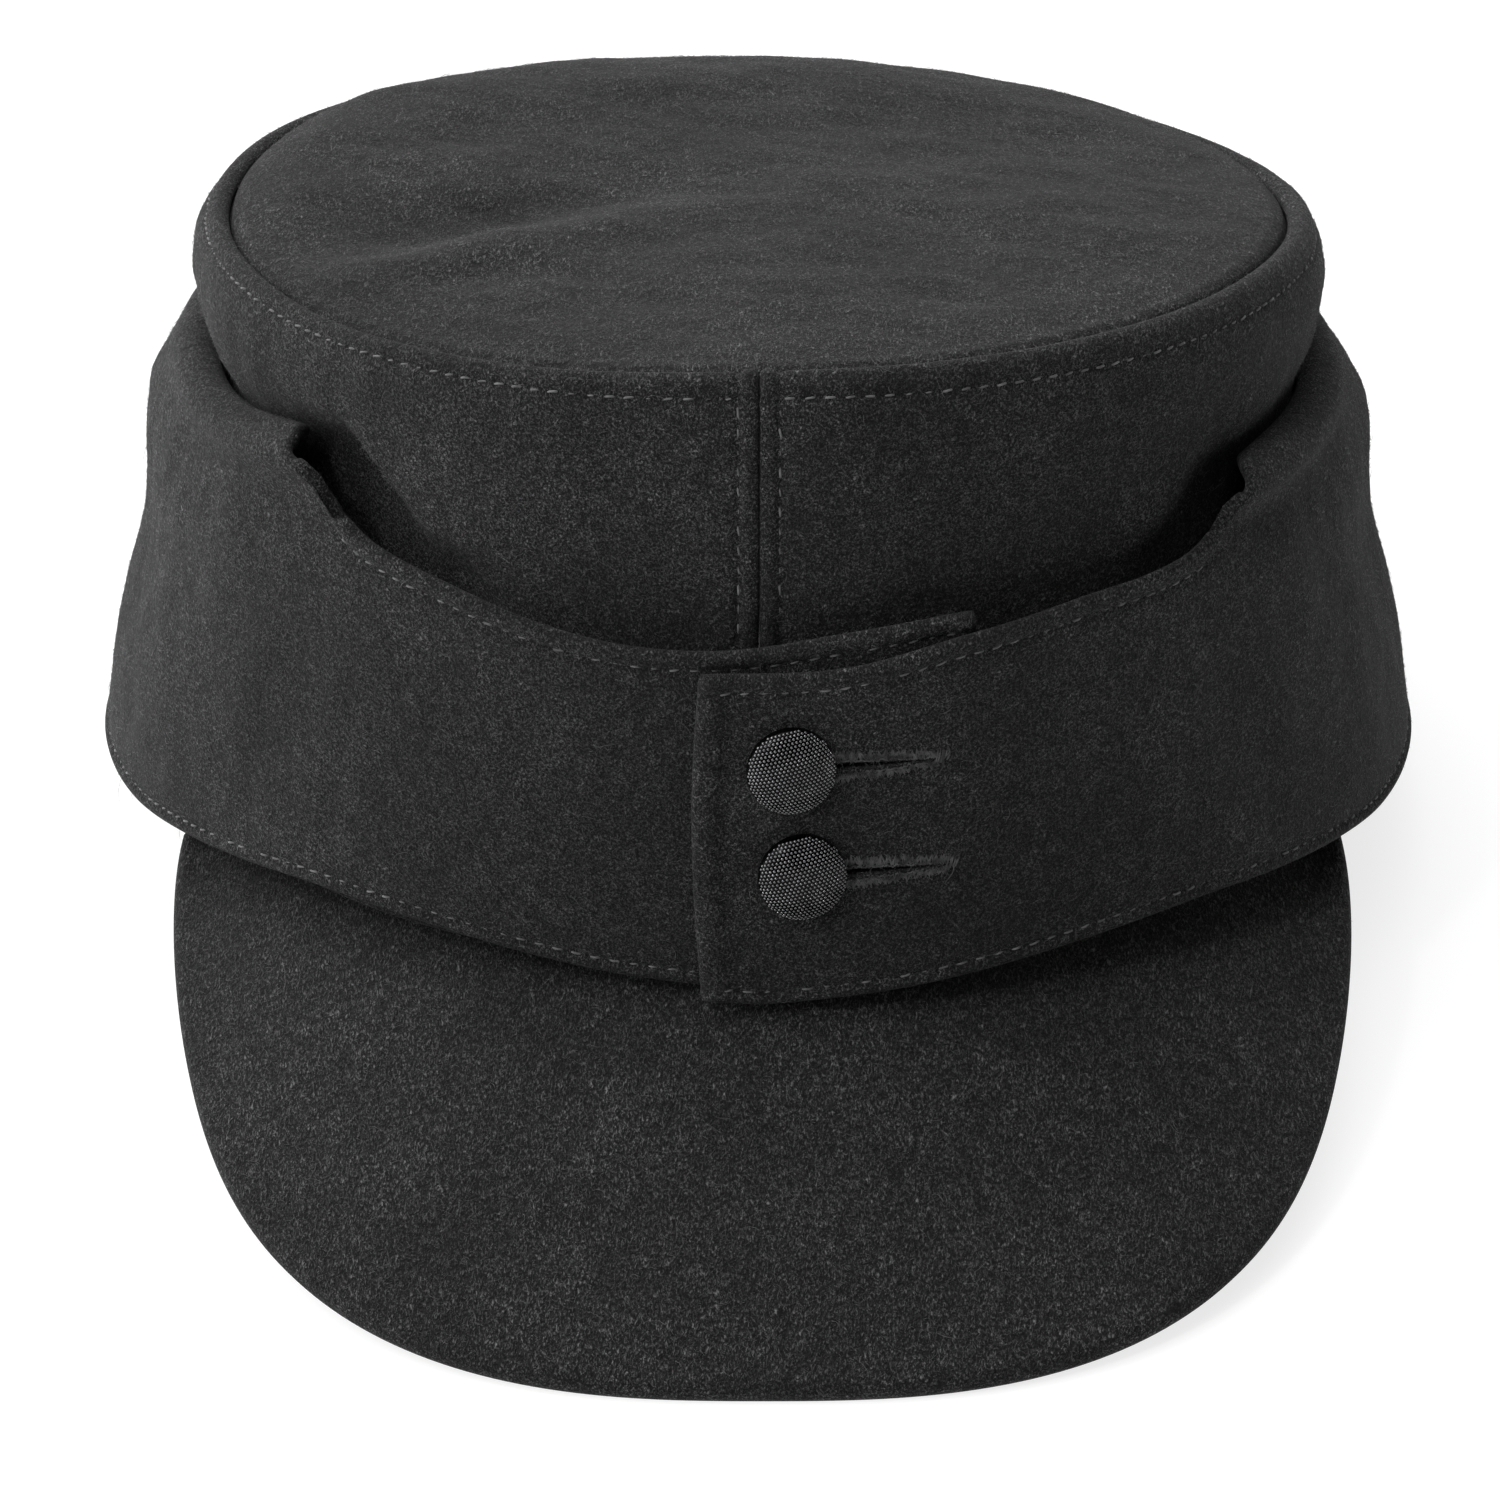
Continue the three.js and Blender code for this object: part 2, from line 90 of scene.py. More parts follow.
# The mesh's places by an edge or a seam, as distances from it, and the widths of columns in mesh steps
FINE_SEAM = (0.4, 0.8, 1.15, 1.45, 1.75, 2.05, 2.45, 3.0, 3.8, 5.0)
FINE_TOP = (0.5, 1.2, 2.0, 2.8, 3.3, 3.7, 4.1, 4.5, 4.9, 5.3, 5.7, 6.1, 6.6, 7.4)
FINE_HEM = (0.3, 0.6, 0.9, 1.2, 1.55, 2.0, 2.7, 3.8)
FINE_END = (0.5, 1.0)
FINE_PEAK = (0.6, 1.3, 2.2, 3.4)
TOP_COLUMN = 1.4
PEAK_COLUMN = 1.2

# The soft waves that make cloth uneven: how many cross, and their sizes as shares of the given one
WAVES = 9
WAVE_SIZES = (0.7, 1.6)

# The crown's outer surface, from its base to its widest line under the top seam
OVAL_POWER = 2.05
CROWN_WALL = table("z half front back", [
    (0, 85.0, 103.0, 103.0),
    (20, 83.9, 102.2, 102.2),
    (36, 82.6, 101.4, 101.2),
    (50, 80.8, 100.5, 99.6),
    (60, 79.9, 99.8, 98.4),
    (66, 81.0, 99.6, 98.6),
    (72, 82.2, 99.2, 99.0),
])
RIM = {"z": 72.0, "inset": 4.0, "rise": 8.83, "turn": math.radians(115)}

# How far the top seam rises or sags, by the angle from the front towards the wearer's left
SEAM_SAG = table("angle rise", [
    (-180, -4.8),
    (-155, -4.3),
    (-140, -2.9),
    (-125, -1.4),
    (-105, -0.9),
    (-85, -0.9),
    (-65, -1.2),
    (-50, -1.9),
    (-35, -1.8),
    (-20, -1.3),
    (-8, -0.5),
    (3, 0.0),
    (60, 0.0),
    (80, -1.4),
    (100, -3.7),
    (125, -5.3),
    (150, -5.6),
    (180, -4.8),
])
SAG_FROM_Z = (50.0, 78.0)

# The wall is pushed in behind a flap's top edge. It goes in over the heights in foot and comes out again
# from floor to lip, which are heights above that edge. The depth is the flap's own dent up to its fold's
# start, side_depth from to_side degrees past that, and less by the share back_less past the angles in back.
# edge_to_fold is how many degrees before and past the fold's start the edge gives way to the fold.
DENT = {
    "side_depth": 2.4,
    "to_side": 13.0,
    "edge_to_fold": (12.0, 6.0),
    "foot": (6.0, 34.0),
    "floor": -2.4,
    "lip": 6.6,
    "back": (95.0, 130.0),
    "back_less": 0.6,
}
CROWN_NAP_FROM = 42.0

# The top panel: it swells up from its seam, little at the front and more round the back, to a soft dome.
# Its humps (rise above 0) and hollows are each turned and stretched.
TOP_CENTRE_Z = 83.2
TOP_SWELL = table("angle rise", [
    (0, 1.0),
    (60, 1.4),
    (90, 3.4),
    (120, 4.6),
    (180, 4.6),
])
SWELL_REACH = 4.0
TOP_HUMPS = [
    {"x": -42, "y": 50, "turn": 35, "long": 40, "wide": 22, "rise": 2.8},
    {"x": 8, "y": 58, "turn": 0, "long": 38, "wide": 20, "rise": 2.6},
    {"x": -44, "y": -20, "turn": 29, "long": 36, "wide": 10, "rise": -3.0},
    {"x": -44, "y": -41, "turn": 34, "long": 27, "wide": 8, "rise": 2.0},
    {"x": 52, "y": 20, "turn": -30, "long": 30, "wide": 16, "rise": -1.2},
]

# Its shoulder by the seam, and its turned-in edge, which passes under the wall's: from_seam is how far it
# lies inside the seam
SHOULDER = {"rise": 0.25, "from_seam": 2.2, "wide": 1.2}
TURNED_EDGE = table("from_seam drop", [
    (0.85, 0.12),
    (0.55, 0.42),
    (0.35, 0.95),
    (0.15, 1.7),
    (-0.3, 2.4),
    (-1.1, 2.75),
    (-2.3, 2.9),
    (-3.4, 3.0),
])
TURNED_CLOTH = 0.7
TURNED_BLEND = (0.6, 2.6)

# The flaps' outer legs, which hang free. Their tops lean in over the heights and angles in TOP_IN.
CLOTH_HALF = 1.05
FLAP_POWER = 2.05
FLAP_MIDDLE_Y = 5.5
FLAP_LEG = table("z half back", [
    (0, 97.6, 111.0),
    (6, 96.8, 110.4),
    (13, 95.6, 109.7),
    (20, 94.2, 109.1),
    (28, 92.0, 108.2),
    (34, 90.4, 107.5),
    (40, 89.8, 107.0),
    (46, 90.0, 106.7),
    (52, 89.2, 106.0),
    (57, 87.8, 105.0),
])
FLAP_BOTTOM = table("angle z", [
    (0, -2.5),
    (11, -0.9),
    (19, 0.8),
    (28, 2.6),
    (38, 3.6),
    (46, 3.0),
    (56, 1.8),
    (66, 0.5),
    (90, 0.0),
    (180, 0.0),
])
TOP_IN = {"z": (36.0, 56.0), "from": (19.0, 30.0), "until": (60.0, 85.0)}

# The usual way down an outer leg and along it from the fold's start to the back seam, where a leg is
# measured, and how its free edge and its end are shaped and sewn
LEG_LENGTH = 52.0
FLAP_BACK_LENGTH = 205.0
FLAP_MEASURED_Z = 45.0
EDGE_MEETS_DEG = 3
EDGE_SWELL_ENDS = (6, 1)
END_SWELL = {"line": 4.2, "puff": 0.75, "groove": 0.12}
END_STITCH = 2.6

# The flaps' inner legs, which lie on the wall, and the roll between inner and outer leg
INNER_EDGE = table("z angle", [
    (0, 40),
    (20, 46),
    (40, 53),
    (51, 54),
    (57, 53),
    (64, 51),
])
INNER_ROUNDING_DEG = 0.6
LEG_GAP = 0.8
LEG_LIFT = 3.4
LEG_LIFT_UNTIL = (0.15, 0.4)
LEG_PUSH_DEG = 9.0
FOLD_RADIUS = 1.7
FOLD_FADE_DEG = 10.0
FOLD_STAND = 0.9
FOLD_STAND_DEG = 16.0
LEAN_HEIGHT = 8.0
INNER_ROWS = 20
ROLL_ROWS = 12
APEX_ROW = INNER_ROWS + ROLL_ROWS // 2
FLAP_NAP_ROW = INNER_ROWS + 3

# The two flaps. Angles run from the front towards the flap's own side. front is how far out the outer leg
# lies there, and end_x is its free end, bowed by end_bow. edge is the free top edge across the front, which
# meets the fold at fold_angle. From there the roll's front end slants back as it goes over, and fold gives
# its height. inner_shift moves the inner leg's front edge back, front_lift raises the hem at the front, and
# top_in is how far the top leans in. dent and dent_from are for the wall behind.
FLAP_UNDER = {
    "name": "flap_under",
    "side": -1,
    "front": 107.0,
    "end_x": -28.5,
    "end_bow": 0.0,
    "fold_angle": 44.0,
    "slant": 4.2,
    "inner_shift": 0.0,
    "front_lift": 1.0,
    "top_in": 1.2,
    "dent": 5.4,
    "dent_from": (20, 32),
    "edge": table("angle z", [
        (-18, 50.2),
        (-7, 48.3),
        (3, 46.1),
        (13, 46.6),
        (26, 50.6),
        (36, 53.9),
        (40, 56.5),
        (42, 58.9),
        (44, 62.2),
    ]),
    "fold": table("angle z", [
        (44, 64.0),
        (50, 63.0),
        (56, 61.8),
        (66, 61.0),
        (90, 61.4),
        (180, 59.5),
    ]),
}
FLAP_OVER = {
    "name": "flap_over",
    "side": 1,
    "front": 109.9,
    "end_x": -7.8,
    "end_bow": -1.1,
    "fold_angle": 48.4,
    "slant": 3.0,
    "inner_shift": 4.4,
    "front_lift": 0.0,
    "top_in": 2.6,
    "dent": 2.2,
    "dent_from": (34, 48),
    "edge": table("angle z", [
        (-5, 43.9),
        (7, 44.5),
        (18, 47.8),
        (30, 49.5),
        (36, 49.9),
        (42, 50.9),
        (45.6, 53.0),
        (48.4, 56.0),
    ]),
    "fold": table("angle z", [
        (48.4, 57.9),
        (58, 58.2),
        (90, 57.2),
        (180, 59.5),
    ]),
}
END_BOW_HEIGHT = 45.0

# The peak: its board's middle surface runs from the crown's base to a D-shaped edge
PEAK = {
    "half": 82.8,
    "middle_x": 0.6,
    "back_y": -42.0,
    "tip_y": -158.6,
    "tip_z": -36.4,
    "corner_z": -2.9,
    "power": 2.72,
    "waist": 1.7,
    "tuck": 3.0,
}
PEAK_SEAT = {"half": 83.6, "front": 101.6, "z": -2.1, "angle": 66.0}

# Soft unevenness of the cloth, as layers of a rise, a size and a seed. It sets in over the given range of
# each measure.
UNEVEN = {
    "top": {"layers": ((0.35, 30.0, 5), (0.16, 9.0, 6)), "from_seam": (0, 14)},
    "wall": {
        "layers": ((0.4, 34.0, 3), (0.15, 9.0, 4)),
        "from_top": (0, 12),
        "from_seam": (0, 8),
        "z": (40, 60),
    },
    "flap": {
        "layers": ((0.55, 40.0, 11), (0.16, 10.0, 12)),
        "degrees": (22, 50),
        "from_hem": (0, 10),
        "from_edge": (2, 12),
    },
    "peak": {"layers": ((0.12, 26.0, 21),), "from_edge": (1, 10)},
}

# The buttons. rim is the metal's outline from its back to the foot of its dome, as how far each place lies
# inside the button's radius and how high it stands over the cloth.
BUTTON_X = (4.0, 5.5)
BUTTON_Z = (31.3, 16.4)
BUTTON_NAMES = ("button_upper", "button_lower")
BUTTON_TURN = math.radians(9)
BUTTON = {
    "rim": ((0.9, 0.45), (0.25, 0.75), (0.0, 0.95), (0.0, 1.25), (0.05, 1.55), (0.1, 1.55)),
    "dome_in": 0.12,
    "dome_steps": 10,
    "shank_radius": 0.55,
    "shank_depth": 2.4,
    "sides": 72,
    "flat_top": 0.4,
    "smooth_below": math.radians(50),
}
GRAIN = {"radius": 0.37, "height": 0.8, "margin": 0.35, "turn": math.radians(12)}

# The slits that the buttons pass through, and the thread sewn round them: a band above (1) and one below
# (-1), each as how far it starts off the slit and how wide it is. Every band is two zigzags and a ridge.
# A bar closes them at the slit's end, where two threads hang loose.
SLIT = {
    "start": -2.0,
    "length": 20.5,
    "half_width": 0.42,
    "roundness": 0.7,
    "wide": 1.25,
    "narrows": 0.75,
    "in_front": 1.6,
    "behind": 3.8,
}
BANDS = {1: (0.1, 2.1), -1: (1.0, 1.6)}
BAND_PAST = 1.2
ZIGZAG = {
    "tooth": 0.55,
    "stray": 0.14,
    "off": 0.1,
    "off_by": 0.25,
    "narrows": 0.35,
    "width": (0.45, 1.0),
    "lift": (-0.1, 0.14),
}
RIDGE = {"off": 0.2, "wobble": 0.13, "lift": 0.1, "lift_share": 0.8}
BAR = {
    "count": 6,
    "points": 7,
    "back": 0.3,
    "pitch": 0.28,
    "lean": 0.25,
    "stray": (0.08, 0.15),
    "middle": 0.3,
    "half": (1.15, 0.1),
    "lift": (0.2, 0.3),
}
LOOSE_END = {
    "drops": (-2.6, 1.7),
    "points": 8,
    "start": 0.5,
    "aside": 0.9,
    "curl": (0.3, 4),
    "lift": (0.1, 0.2, 3),
    "radius": 0.7,
}

# Threads, each pointed at its ends, and topstitches
POINTED = 0.35
STITCH = {
    "span": (0.17, 0.83),
    "points": 6,
    "roundness": 0.6,
    "rise": 0.42,
    "root": 0.3,
    "sunk": (-0.24, 0.1),
    "skew": 0.22,
}

# The loose fibres: short slivers, some curls and a few long strays. map is the part of the texture map's
# height that a kind takes.
SLIVER = {"lean": (3, 28), "length": (0.5, 1.5), "root": 0.08, "map": (0.0, 0.8)}
CURLS = {"per_mm2": 0.03, "length": 2.2, "lift": 0.35, "map": (0.8, 0.98)}
STRAYS = {"per_mm2": 0.0006, "length": 4.5, "lift": 0.9, "map": (0.98, 1.0)}
THREE_WAYS = [2 * math.pi * i / 3 for i in range(3)]
HAIR = {
    "steps": 5,
    "length": (0.6, 1.5),
    "bend": (0.3, 2.4),
    "rise": (0.3, 1.2),
    "arch": 2.6,
    "root": 0.06,
    "radius": 0.8,
    "thins": 0.5,
}

# Cut sizes of the sheets in metres
CUT_SIZE = {
    "crown_top": (0.155, 0.188),
    "crown_side": (0.292, 0.09),
    "flap": (0.335, 0.122),
}

# The wool's look. Its fibres are streaks of noise stretched in several directions. Each further layer is
# the scale, detail and distortion of its noise, and the range that it is spread over.
FIBRE_TURNS = ((0.4, 0.3, 0.0), (1.3, 0.2, 0.9), (0.2, 1.2, 2.0), (0.9, 2.3, 1.1))
FIBRE_STRETCH = (3300, 1000, 3300)
FIBRE_RANGE = (0.58, 0.76)
MIDDLE_RANGE = (0.3, 0.7)
WOOL_LAYERS = {
    "grain": (2600.0, 3.0, 0.4, 0.0, 1.0),
    "clumps": (420.0, 3.0, 0.5, 0.0, 1.0),
    "patches": (42.0, 2.0, 0.0, 0.75, 1.1),
}
STREAK_SHARE = 0.75
CLUMP_SHADES = (0.7, 1.15)
CLUMP_HEIGHT = 0.6
WOOL_CONTRAST = 1.9
WOOL_BUMP = 0.45 * MM
WOOL_SURFACE = {
    "Roughness": 0.92,
    "Specular IOR Level": 0.2,
    "Sheen Weight": 0.09,
    "Sheen Roughness": 0.4,
    "Sheen Tint": (0.5, 0.5, 0.51, 1),
}

# The looks of thread and metal
FIBRE_SURFACE = {"Specular IOR Level": 0.35, "Sheen Weight": 0.2}
HOLE_THREAD_SHADE = 0.42
METAL_SHADES = (0.7, 1.3)
METAL_ROUGHNESS = (0.16, 0.26)
# The metal between a button's grains is darkened to this share of its colour: painted shade in the hollows
# between the grains
METAL_GROUND_PAINTED_SHADE = 0.015

# Rest: the floor passes through these two places, and the cap's own origin lies at CAP_PLACE above it
REST_BACK = Vector((0, 109.0, 0.65))
REST_PEAK = Vector((0, -157.7, -37.0))
REST_TILT = math.atan2(REST_BACK.z - REST_PEAK.z, REST_BACK.y - REST_PEAK.y)
CAP_HEIGHT = REST_BACK.y * math.sin(REST_TILT) - REST_BACK.z * math.cos(REST_TILT)
CAP_PLACE = Vector((-0.04, 25.285, CAP_HEIGHT))
CAP_TO_ROW = Matrix.Scale(MM, 4) @ Matrix.Translation(CAP_PLACE) @ Matrix.Rotation(-REST_TILT, 4, "X")

# The camera, in the cap's own frame
VIEW_TARGET = Vector((-1.2, 0.0, -6.2))
VIEW_ELEVATION = math.radians(20)
VIEW_DISTANCE = 900.0
VIEW_LENS = 143.56

# The light: pale all round, strongest from LIGHT_FROM, with one small lamp for the sparks on the buttons
LIGHT_FROM = Vector((-0.775, 0.38, 0.505))
LIGHT_DIM = 0.06
LIGHT_BRIGHT = 3.1
SPARK = {"place": (-0.62, -0.8, 1.0), "towards": (0, 0, 0.05), "size": 0.11, "watts": 3.2, "gloss": 4.0}
FLOOR_GLOW = 0.78
FLOOR_SIZE = 6.0
FLOOR_DROP = 0.02 * MM


# Properties that a user would change


def size_of(name, description, millimetres):
    return FloatProperty(name=name, description=description, default=millimetres * MM, unit="LENGTH")


def colour_of(name, description, colour):
    limits = {"subtype": "COLOR", "min": 0.0, "max": 1.0}
    return FloatVectorProperty(name=name, description=description, default=colour, **limits)


class CapSizes(bpy.types.PropertyGroup):
    """Sizes of the cloth, thread and buttons."""

    cloth: size_of("Cloth", "Thickness of the wool", 2.1)
    top_cloth: size_of("Top cloth", "Thickness of the top panel", 2.2)
    peak_board: size_of("Peak", "Thickness of the covered peak", 3.4)
    seam_gap: size_of("Seam gap", "Gap at the foot of the wall and round the top panel", 0.3)
    seam_press: size_of("Seam press", "How far two halves press into each other at a middle seam", 0.12)
    mesh_step: size_of("Mesh step", "Spacing of the cloth's mesh", 1.5)
    stitch_pitch: size_of("Stitch", "Length of one topstitch", 2.65)
    thread: size_of("Thread", "Diameter of the sewing thread", 0.32)
    hole_thread: size_of("Buttonhole thread", "Diameter of the thread round the buttonholes", 0.22)
    button_radius: size_of("Button", "Radius of a button", 5.95)
    button_dome: size_of("Button dome", "Rise of a button's face", 2.0)
    grain_pitch: size_of("Grain", "Spacing of the grains on a button", 0.56)
    nap_length: size_of("Nap", "Length of the wool's loose fibres", 0.8)
    nap_radius: size_of("Fibre", "Radius of a loose fibre at its root", 0.038)
    nap_per_mm2: FloatProperty(
        name="Nap density", description="Loose fibres on each square millimetre", default=1.7, min=0.0)
    seed: IntProperty(name="Seed", description="Start of the random numbers", default=7, min=0)


class CapFinish(bpy.types.PropertyGroup):
    """Colours of the wool, thread, metal and floor."""

    wool_dark: colour_of("Wool, dark", "Wool between the fibres", (0.002, 0.002, 0.0021))
    wool_light: colour_of("Wool, light", "Wool's lightest fibres", (0.19, 0.19, 0.193))
    fibre: colour_of("Loose fibre", "Fibres that stand off the cloth", (0.07, 0.07, 0.0712))
    thread: colour_of("Thread", "Sewing thread", (0.09, 0.09, 0.092))
    metal: colour_of("Button metal", "Burnished metal of the buttons", (0.17, 0.17, 0.173))
    floor: colour_of("Floor", "Floor under the cap", (0.3, 0.3, 0.3))


# Numbers along tables, curves and ovals


def along(columns, key, column, at):
    """One column of a table at places along its key column, on a smooth curve through the rows."""
    keys, values = columns[key], columns[column]
    last = len(keys) - 1
    at = np.clip(at, keys[0], keys[-1])
    i = np.clip(np.searchsorted(keys, at, side="right") - 1, 0, last - 1)
    before = np.maximum(np.arange(last + 1) - 1, 0)
    after = np.minimum(np.arange(last + 1) + 1, last)
    slopes = (values[after] - values[before]) / (keys[after] - keys[before])
    run = keys[i + 1] - keys[i]
    t = (at - keys[i]) / run
    ends = values[i] * (1 + 2 * t) * (1 - t) ** 2 + values[i + 1] * t * t * (3 - 2 * t)
    return ends + run * t * (1 - t) * (slopes[i] * (1 - t) - slopes[i + 1] * t)


def between(a, b, share):
    return a + (b - a) * share


def smoothstep(x, low, high):
    t = np.clip((x - low) / (high - low), 0, 1)
    return t * t * (3 - 2 * t)


def unit(vectors):
    return vectors / np.maximum(np.linalg.norm(vectors, axis=-1, keepdims=True), 1e-12)


def oval(angle, half, front, back, z, power, middle_y=0.0):
    """Points of ovals with their middle at middle_y, at angles from the front towards +X."""
    def bent(value):
        return np.sign(value) * np.abs(value) ** (2 / power)

    reach = np.where(np.abs(angle) > np.pi / 2, back - middle_y, front + middle_y)
    x, y = half * bent(np.sin(angle)), middle_y - reach * bent(np.cos(angle))
    return np.stack(np.broadcast_arrays(x, y, z), -1).astype(float)


def angle_of_x(x, half, power):
    """The angle at which an oval has the given x."""
    return np.sign(x) * np.arcsin(np.abs(x / half) ** (power / 2))


def lengths_along(points):
    """How far along a line of points each one lies."""
    steps = np.linalg.norm(np.diff(points, axis=0), axis=1)
    return np.concatenate([[0.0], np.cumsum(steps)])


def spaced(length, step, near_start=(), near_end=()):
    """Places from 0 to length, a step apart, but at the given distances near either end."""
    start = [0.0, *near_start]
    end = [length - d for d in (*sorted(near_end, reverse=True), 0.0)]
    count = max(1, round((end[0] - start[-1]) / step))
    middle = np.linspace(start[-1], end[0], count + 1)[1:-1]
    return np.array([*start, *middle, *end])


def waves(points, size, seed):
    """A soft uneven height from about -1 to 1 at each point: a few crossing waves of about one size."""
    draws = np.random.default_rng(seed)
    directions = unit(draws.normal(size=(WAVES, 3)))
    wavelengths = size * draws.uniform(*WAVE_SIZES, WAVES)
    phases = draws.uniform(0, 2 * np.pi, WAVES)
    height = np.sin(points @ (directions.T * 2 * np.pi / wavelengths) + phases).sum(-1)
    return height / math.sqrt(WAVES)


def unevenness(kind, points, **measures):
    """The soft waves of one kind of cloth, calmed where a measure, such as a distance, is small."""
    height = sum(rise * waves(points, size, seed) for rise, size, seed in UNEVEN[kind]["layers"])
    calm = 1.0
    for name, measure in measures.items():
        calm = calm * smoothstep(measure, *UNEVEN[kind][name])
    return height * calm


# Cloth: sheets on a grid, made into closed pieces with rounded edges


def grid_faces(rows, columns, keep=None, wrap=False):
    """The cells of a grid of vertices, row by row, as four corners each, where keep says so."""
    across = columns if wrap else columns + 1
    j, k = np.meshgrid(np.arange(rows), np.arange(columns), indexing="ij")
    if keep is not None:
        j, k = j[keep], k[keep]
    j, k = j.ravel(), k.ravel()
    beside = (k + 1) % across
    corners = [j * across + k, j * across + beside, (j + 1) * across + beside, (j + 1) * across + k]
    return np.stack(corners, 1)


def vertex_normals(points, faces):
    normals = np.zeros_like(points)
    diagonals = points[faces[:, 2]] - points[faces[:, 0]], points[faces[:, 3]] - points[faces[:, 1]]
    across = np.cross(*diagonals)
    for corner in faces.T:
        np.add.at(normals, corner, across)
    return unit(normals)


def border_of(faces):
    """The edges that only one face uses, each in that face's direction."""
    starts, ends = faces.ravel(), np.roll(faces, -1, axis=1).ravel()
    size = int(faces.max()) + 1
    lonely = ~np.isin(starts * size + ends, ends * size + starts)
    return starts[lonely], ends[lonely]


def cloth_of(grid, faces, outer, inner, reach, places):
    """Turns a sheet on a grid into closed cloth.

    The cloth's surfaces lie outer and inner off the sheet, and its rounded edges stand out past the sheet's
    own by reach. Each of these may be one number or a grid. places are the sheet's flat places, 0 to 1."""
    points = grid.reshape(-1, 3)
    count = len(points)
    shape = grid.shape[:2]
    outer, inner, reach = (np.broadcast_to(v, shape).reshape(-1, 1) for v in (outer, inner, reach))
    places = places.reshape(-1, 2)
    normals = vertex_normals(points, faces)
    top, bottom = points + normals * outer, points - normals * inner
    starts, ends = border_of(faces)
    away = np.zeros_like(points)
    centres = points[faces].mean(1)
    for corner in faces.T:
        np.add.at(away, corner, unit(points[corner] - centres))
    away = unit(away - normals * (away * normals).sum(1, keepdims=True))[starts]
    middle, half = (top + bottom)[starts] / 2, (outer + inner)[starts] / 2
    vertices, levels = [top, bottom], [(starts, ends)]
    order = np.argsort(starts)
    next_one = order[np.searchsorted(starts[order], ends)]
    for step in range(1, RIM_STEPS):
        turn = math.pi * step / RIM_STEPS
        rise, out = normals[starts] * half * math.cos(turn), away * reach[starts] * math.sin(turn)
        vertices.append(middle + rise + out)
        first = 2 * count + (step - 1) * len(starts)
        levels.append((first + np.arange(len(starts)), first + next_one))
    levels.append((starts + count, ends + count))
    edges = [np.stack([b, a, c, d], 1) for (a, b), (c, d) in zip(levels, levels[1:])]
    outside, inside = (places * MAP_SIZE + corner for corner in MAP_CORNERS)
    flat = [outside, inside] + [outside[starts]] * (RIM_STEPS - 1)
    return SimpleNamespace(
        vertices=np.concatenate(vertices), faces=np.concatenate([faces, faces[:, ::-1] + count, *edges]),
        flat=np.concatenate(flat), skin=faces, top=top, normals=normals, shape=shape)


def puffed(distance, line, puff=0.35, groove=0.32):
    """How far cloth swells between an edge and its line of stitches, and sinks under the stitches."""
    swell = puff * np.sin(np.pi * np.clip(distance / line, 0, 1))
    return swell - groove * np.exp(-(((distance - line) / GROOVE_WIDTH) ** 2))


def line_of(cloth, index):
    """The cloth's outer surface along some of its grid's vertices, with its normals.

    Instead of vertices, index may be a row and a column for each, where a row may lie between two."""
    if not isinstance(index, tuple):
        return cloth.top[index], cloth.normals[index]
    row, column = index
    low = np.floor(row).astype(int)
    share = (row - low)[:, None]
    first, second = low * cloth.shape[1] + column, (low + 1) * cloth.shape[1] + column
    place = between(cloth.top[first], cloth.top[second], share)
    return place, unit(between(cloth.normals[first], cloth.normals[second], share))


def crown_surface(angle, z, turn):
    """The crown's outer surface: its wall up to the rim (turn 0), then over the rim to the top seam."""
    inset = RIM["inset"] * (1 - np.cos(turn))
    half, front, back = (along(CROWN_WALL, "z", c, z) - inset for c in ("half", "front", "back"))
    points = oval(angle, half, front, back, z + RIM["rise"] * np.sin(turn), OVAL_POWER)
    rise = along(SEAM_SAG, "angle", "rise", np.degrees(angle))
    points[..., 2] += rise * smoothstep(points[..., 2], *SAG_FROM_Z)
    return points


def crown_rows(step):
    """The crown's rows as the wall's z and the rim's turn, and how far each lies from the top seam."""
    position = np.linspace(0, 2, 240)
    z = RIM["z"] * np.minimum(position, 1)
    turn = RIM["turn"] * np.maximum(position - 1, 0)
    length = lengths_along(crown_surface(np.full(len(position), math.radians(60)), z, turn))
    wanted = ROUNDING + spaced(length[-1] - 2 * ROUNDING, step, (), FINE_TOP)
    return np.interp(wanted, length, z), np.interp(wanted, length, turn), length[-1] - wanted


def crown_columns(step):
    """Angles of a half crown's columns, how far each lies from the front seam, and the way round it."""
    angles = np.linspace(0, math.pi, 400)
    length = lengths_along(crown_surface(angles, 60.0, 0.0))
    wanted = SEAM_ROUNDING + spaced(length[-1] - 2 * SEAM_ROUNDING, step, FINE_SEAM, FINE_SEAM)
    return np.interp(wanted, length, angles), wanted, length[-1]


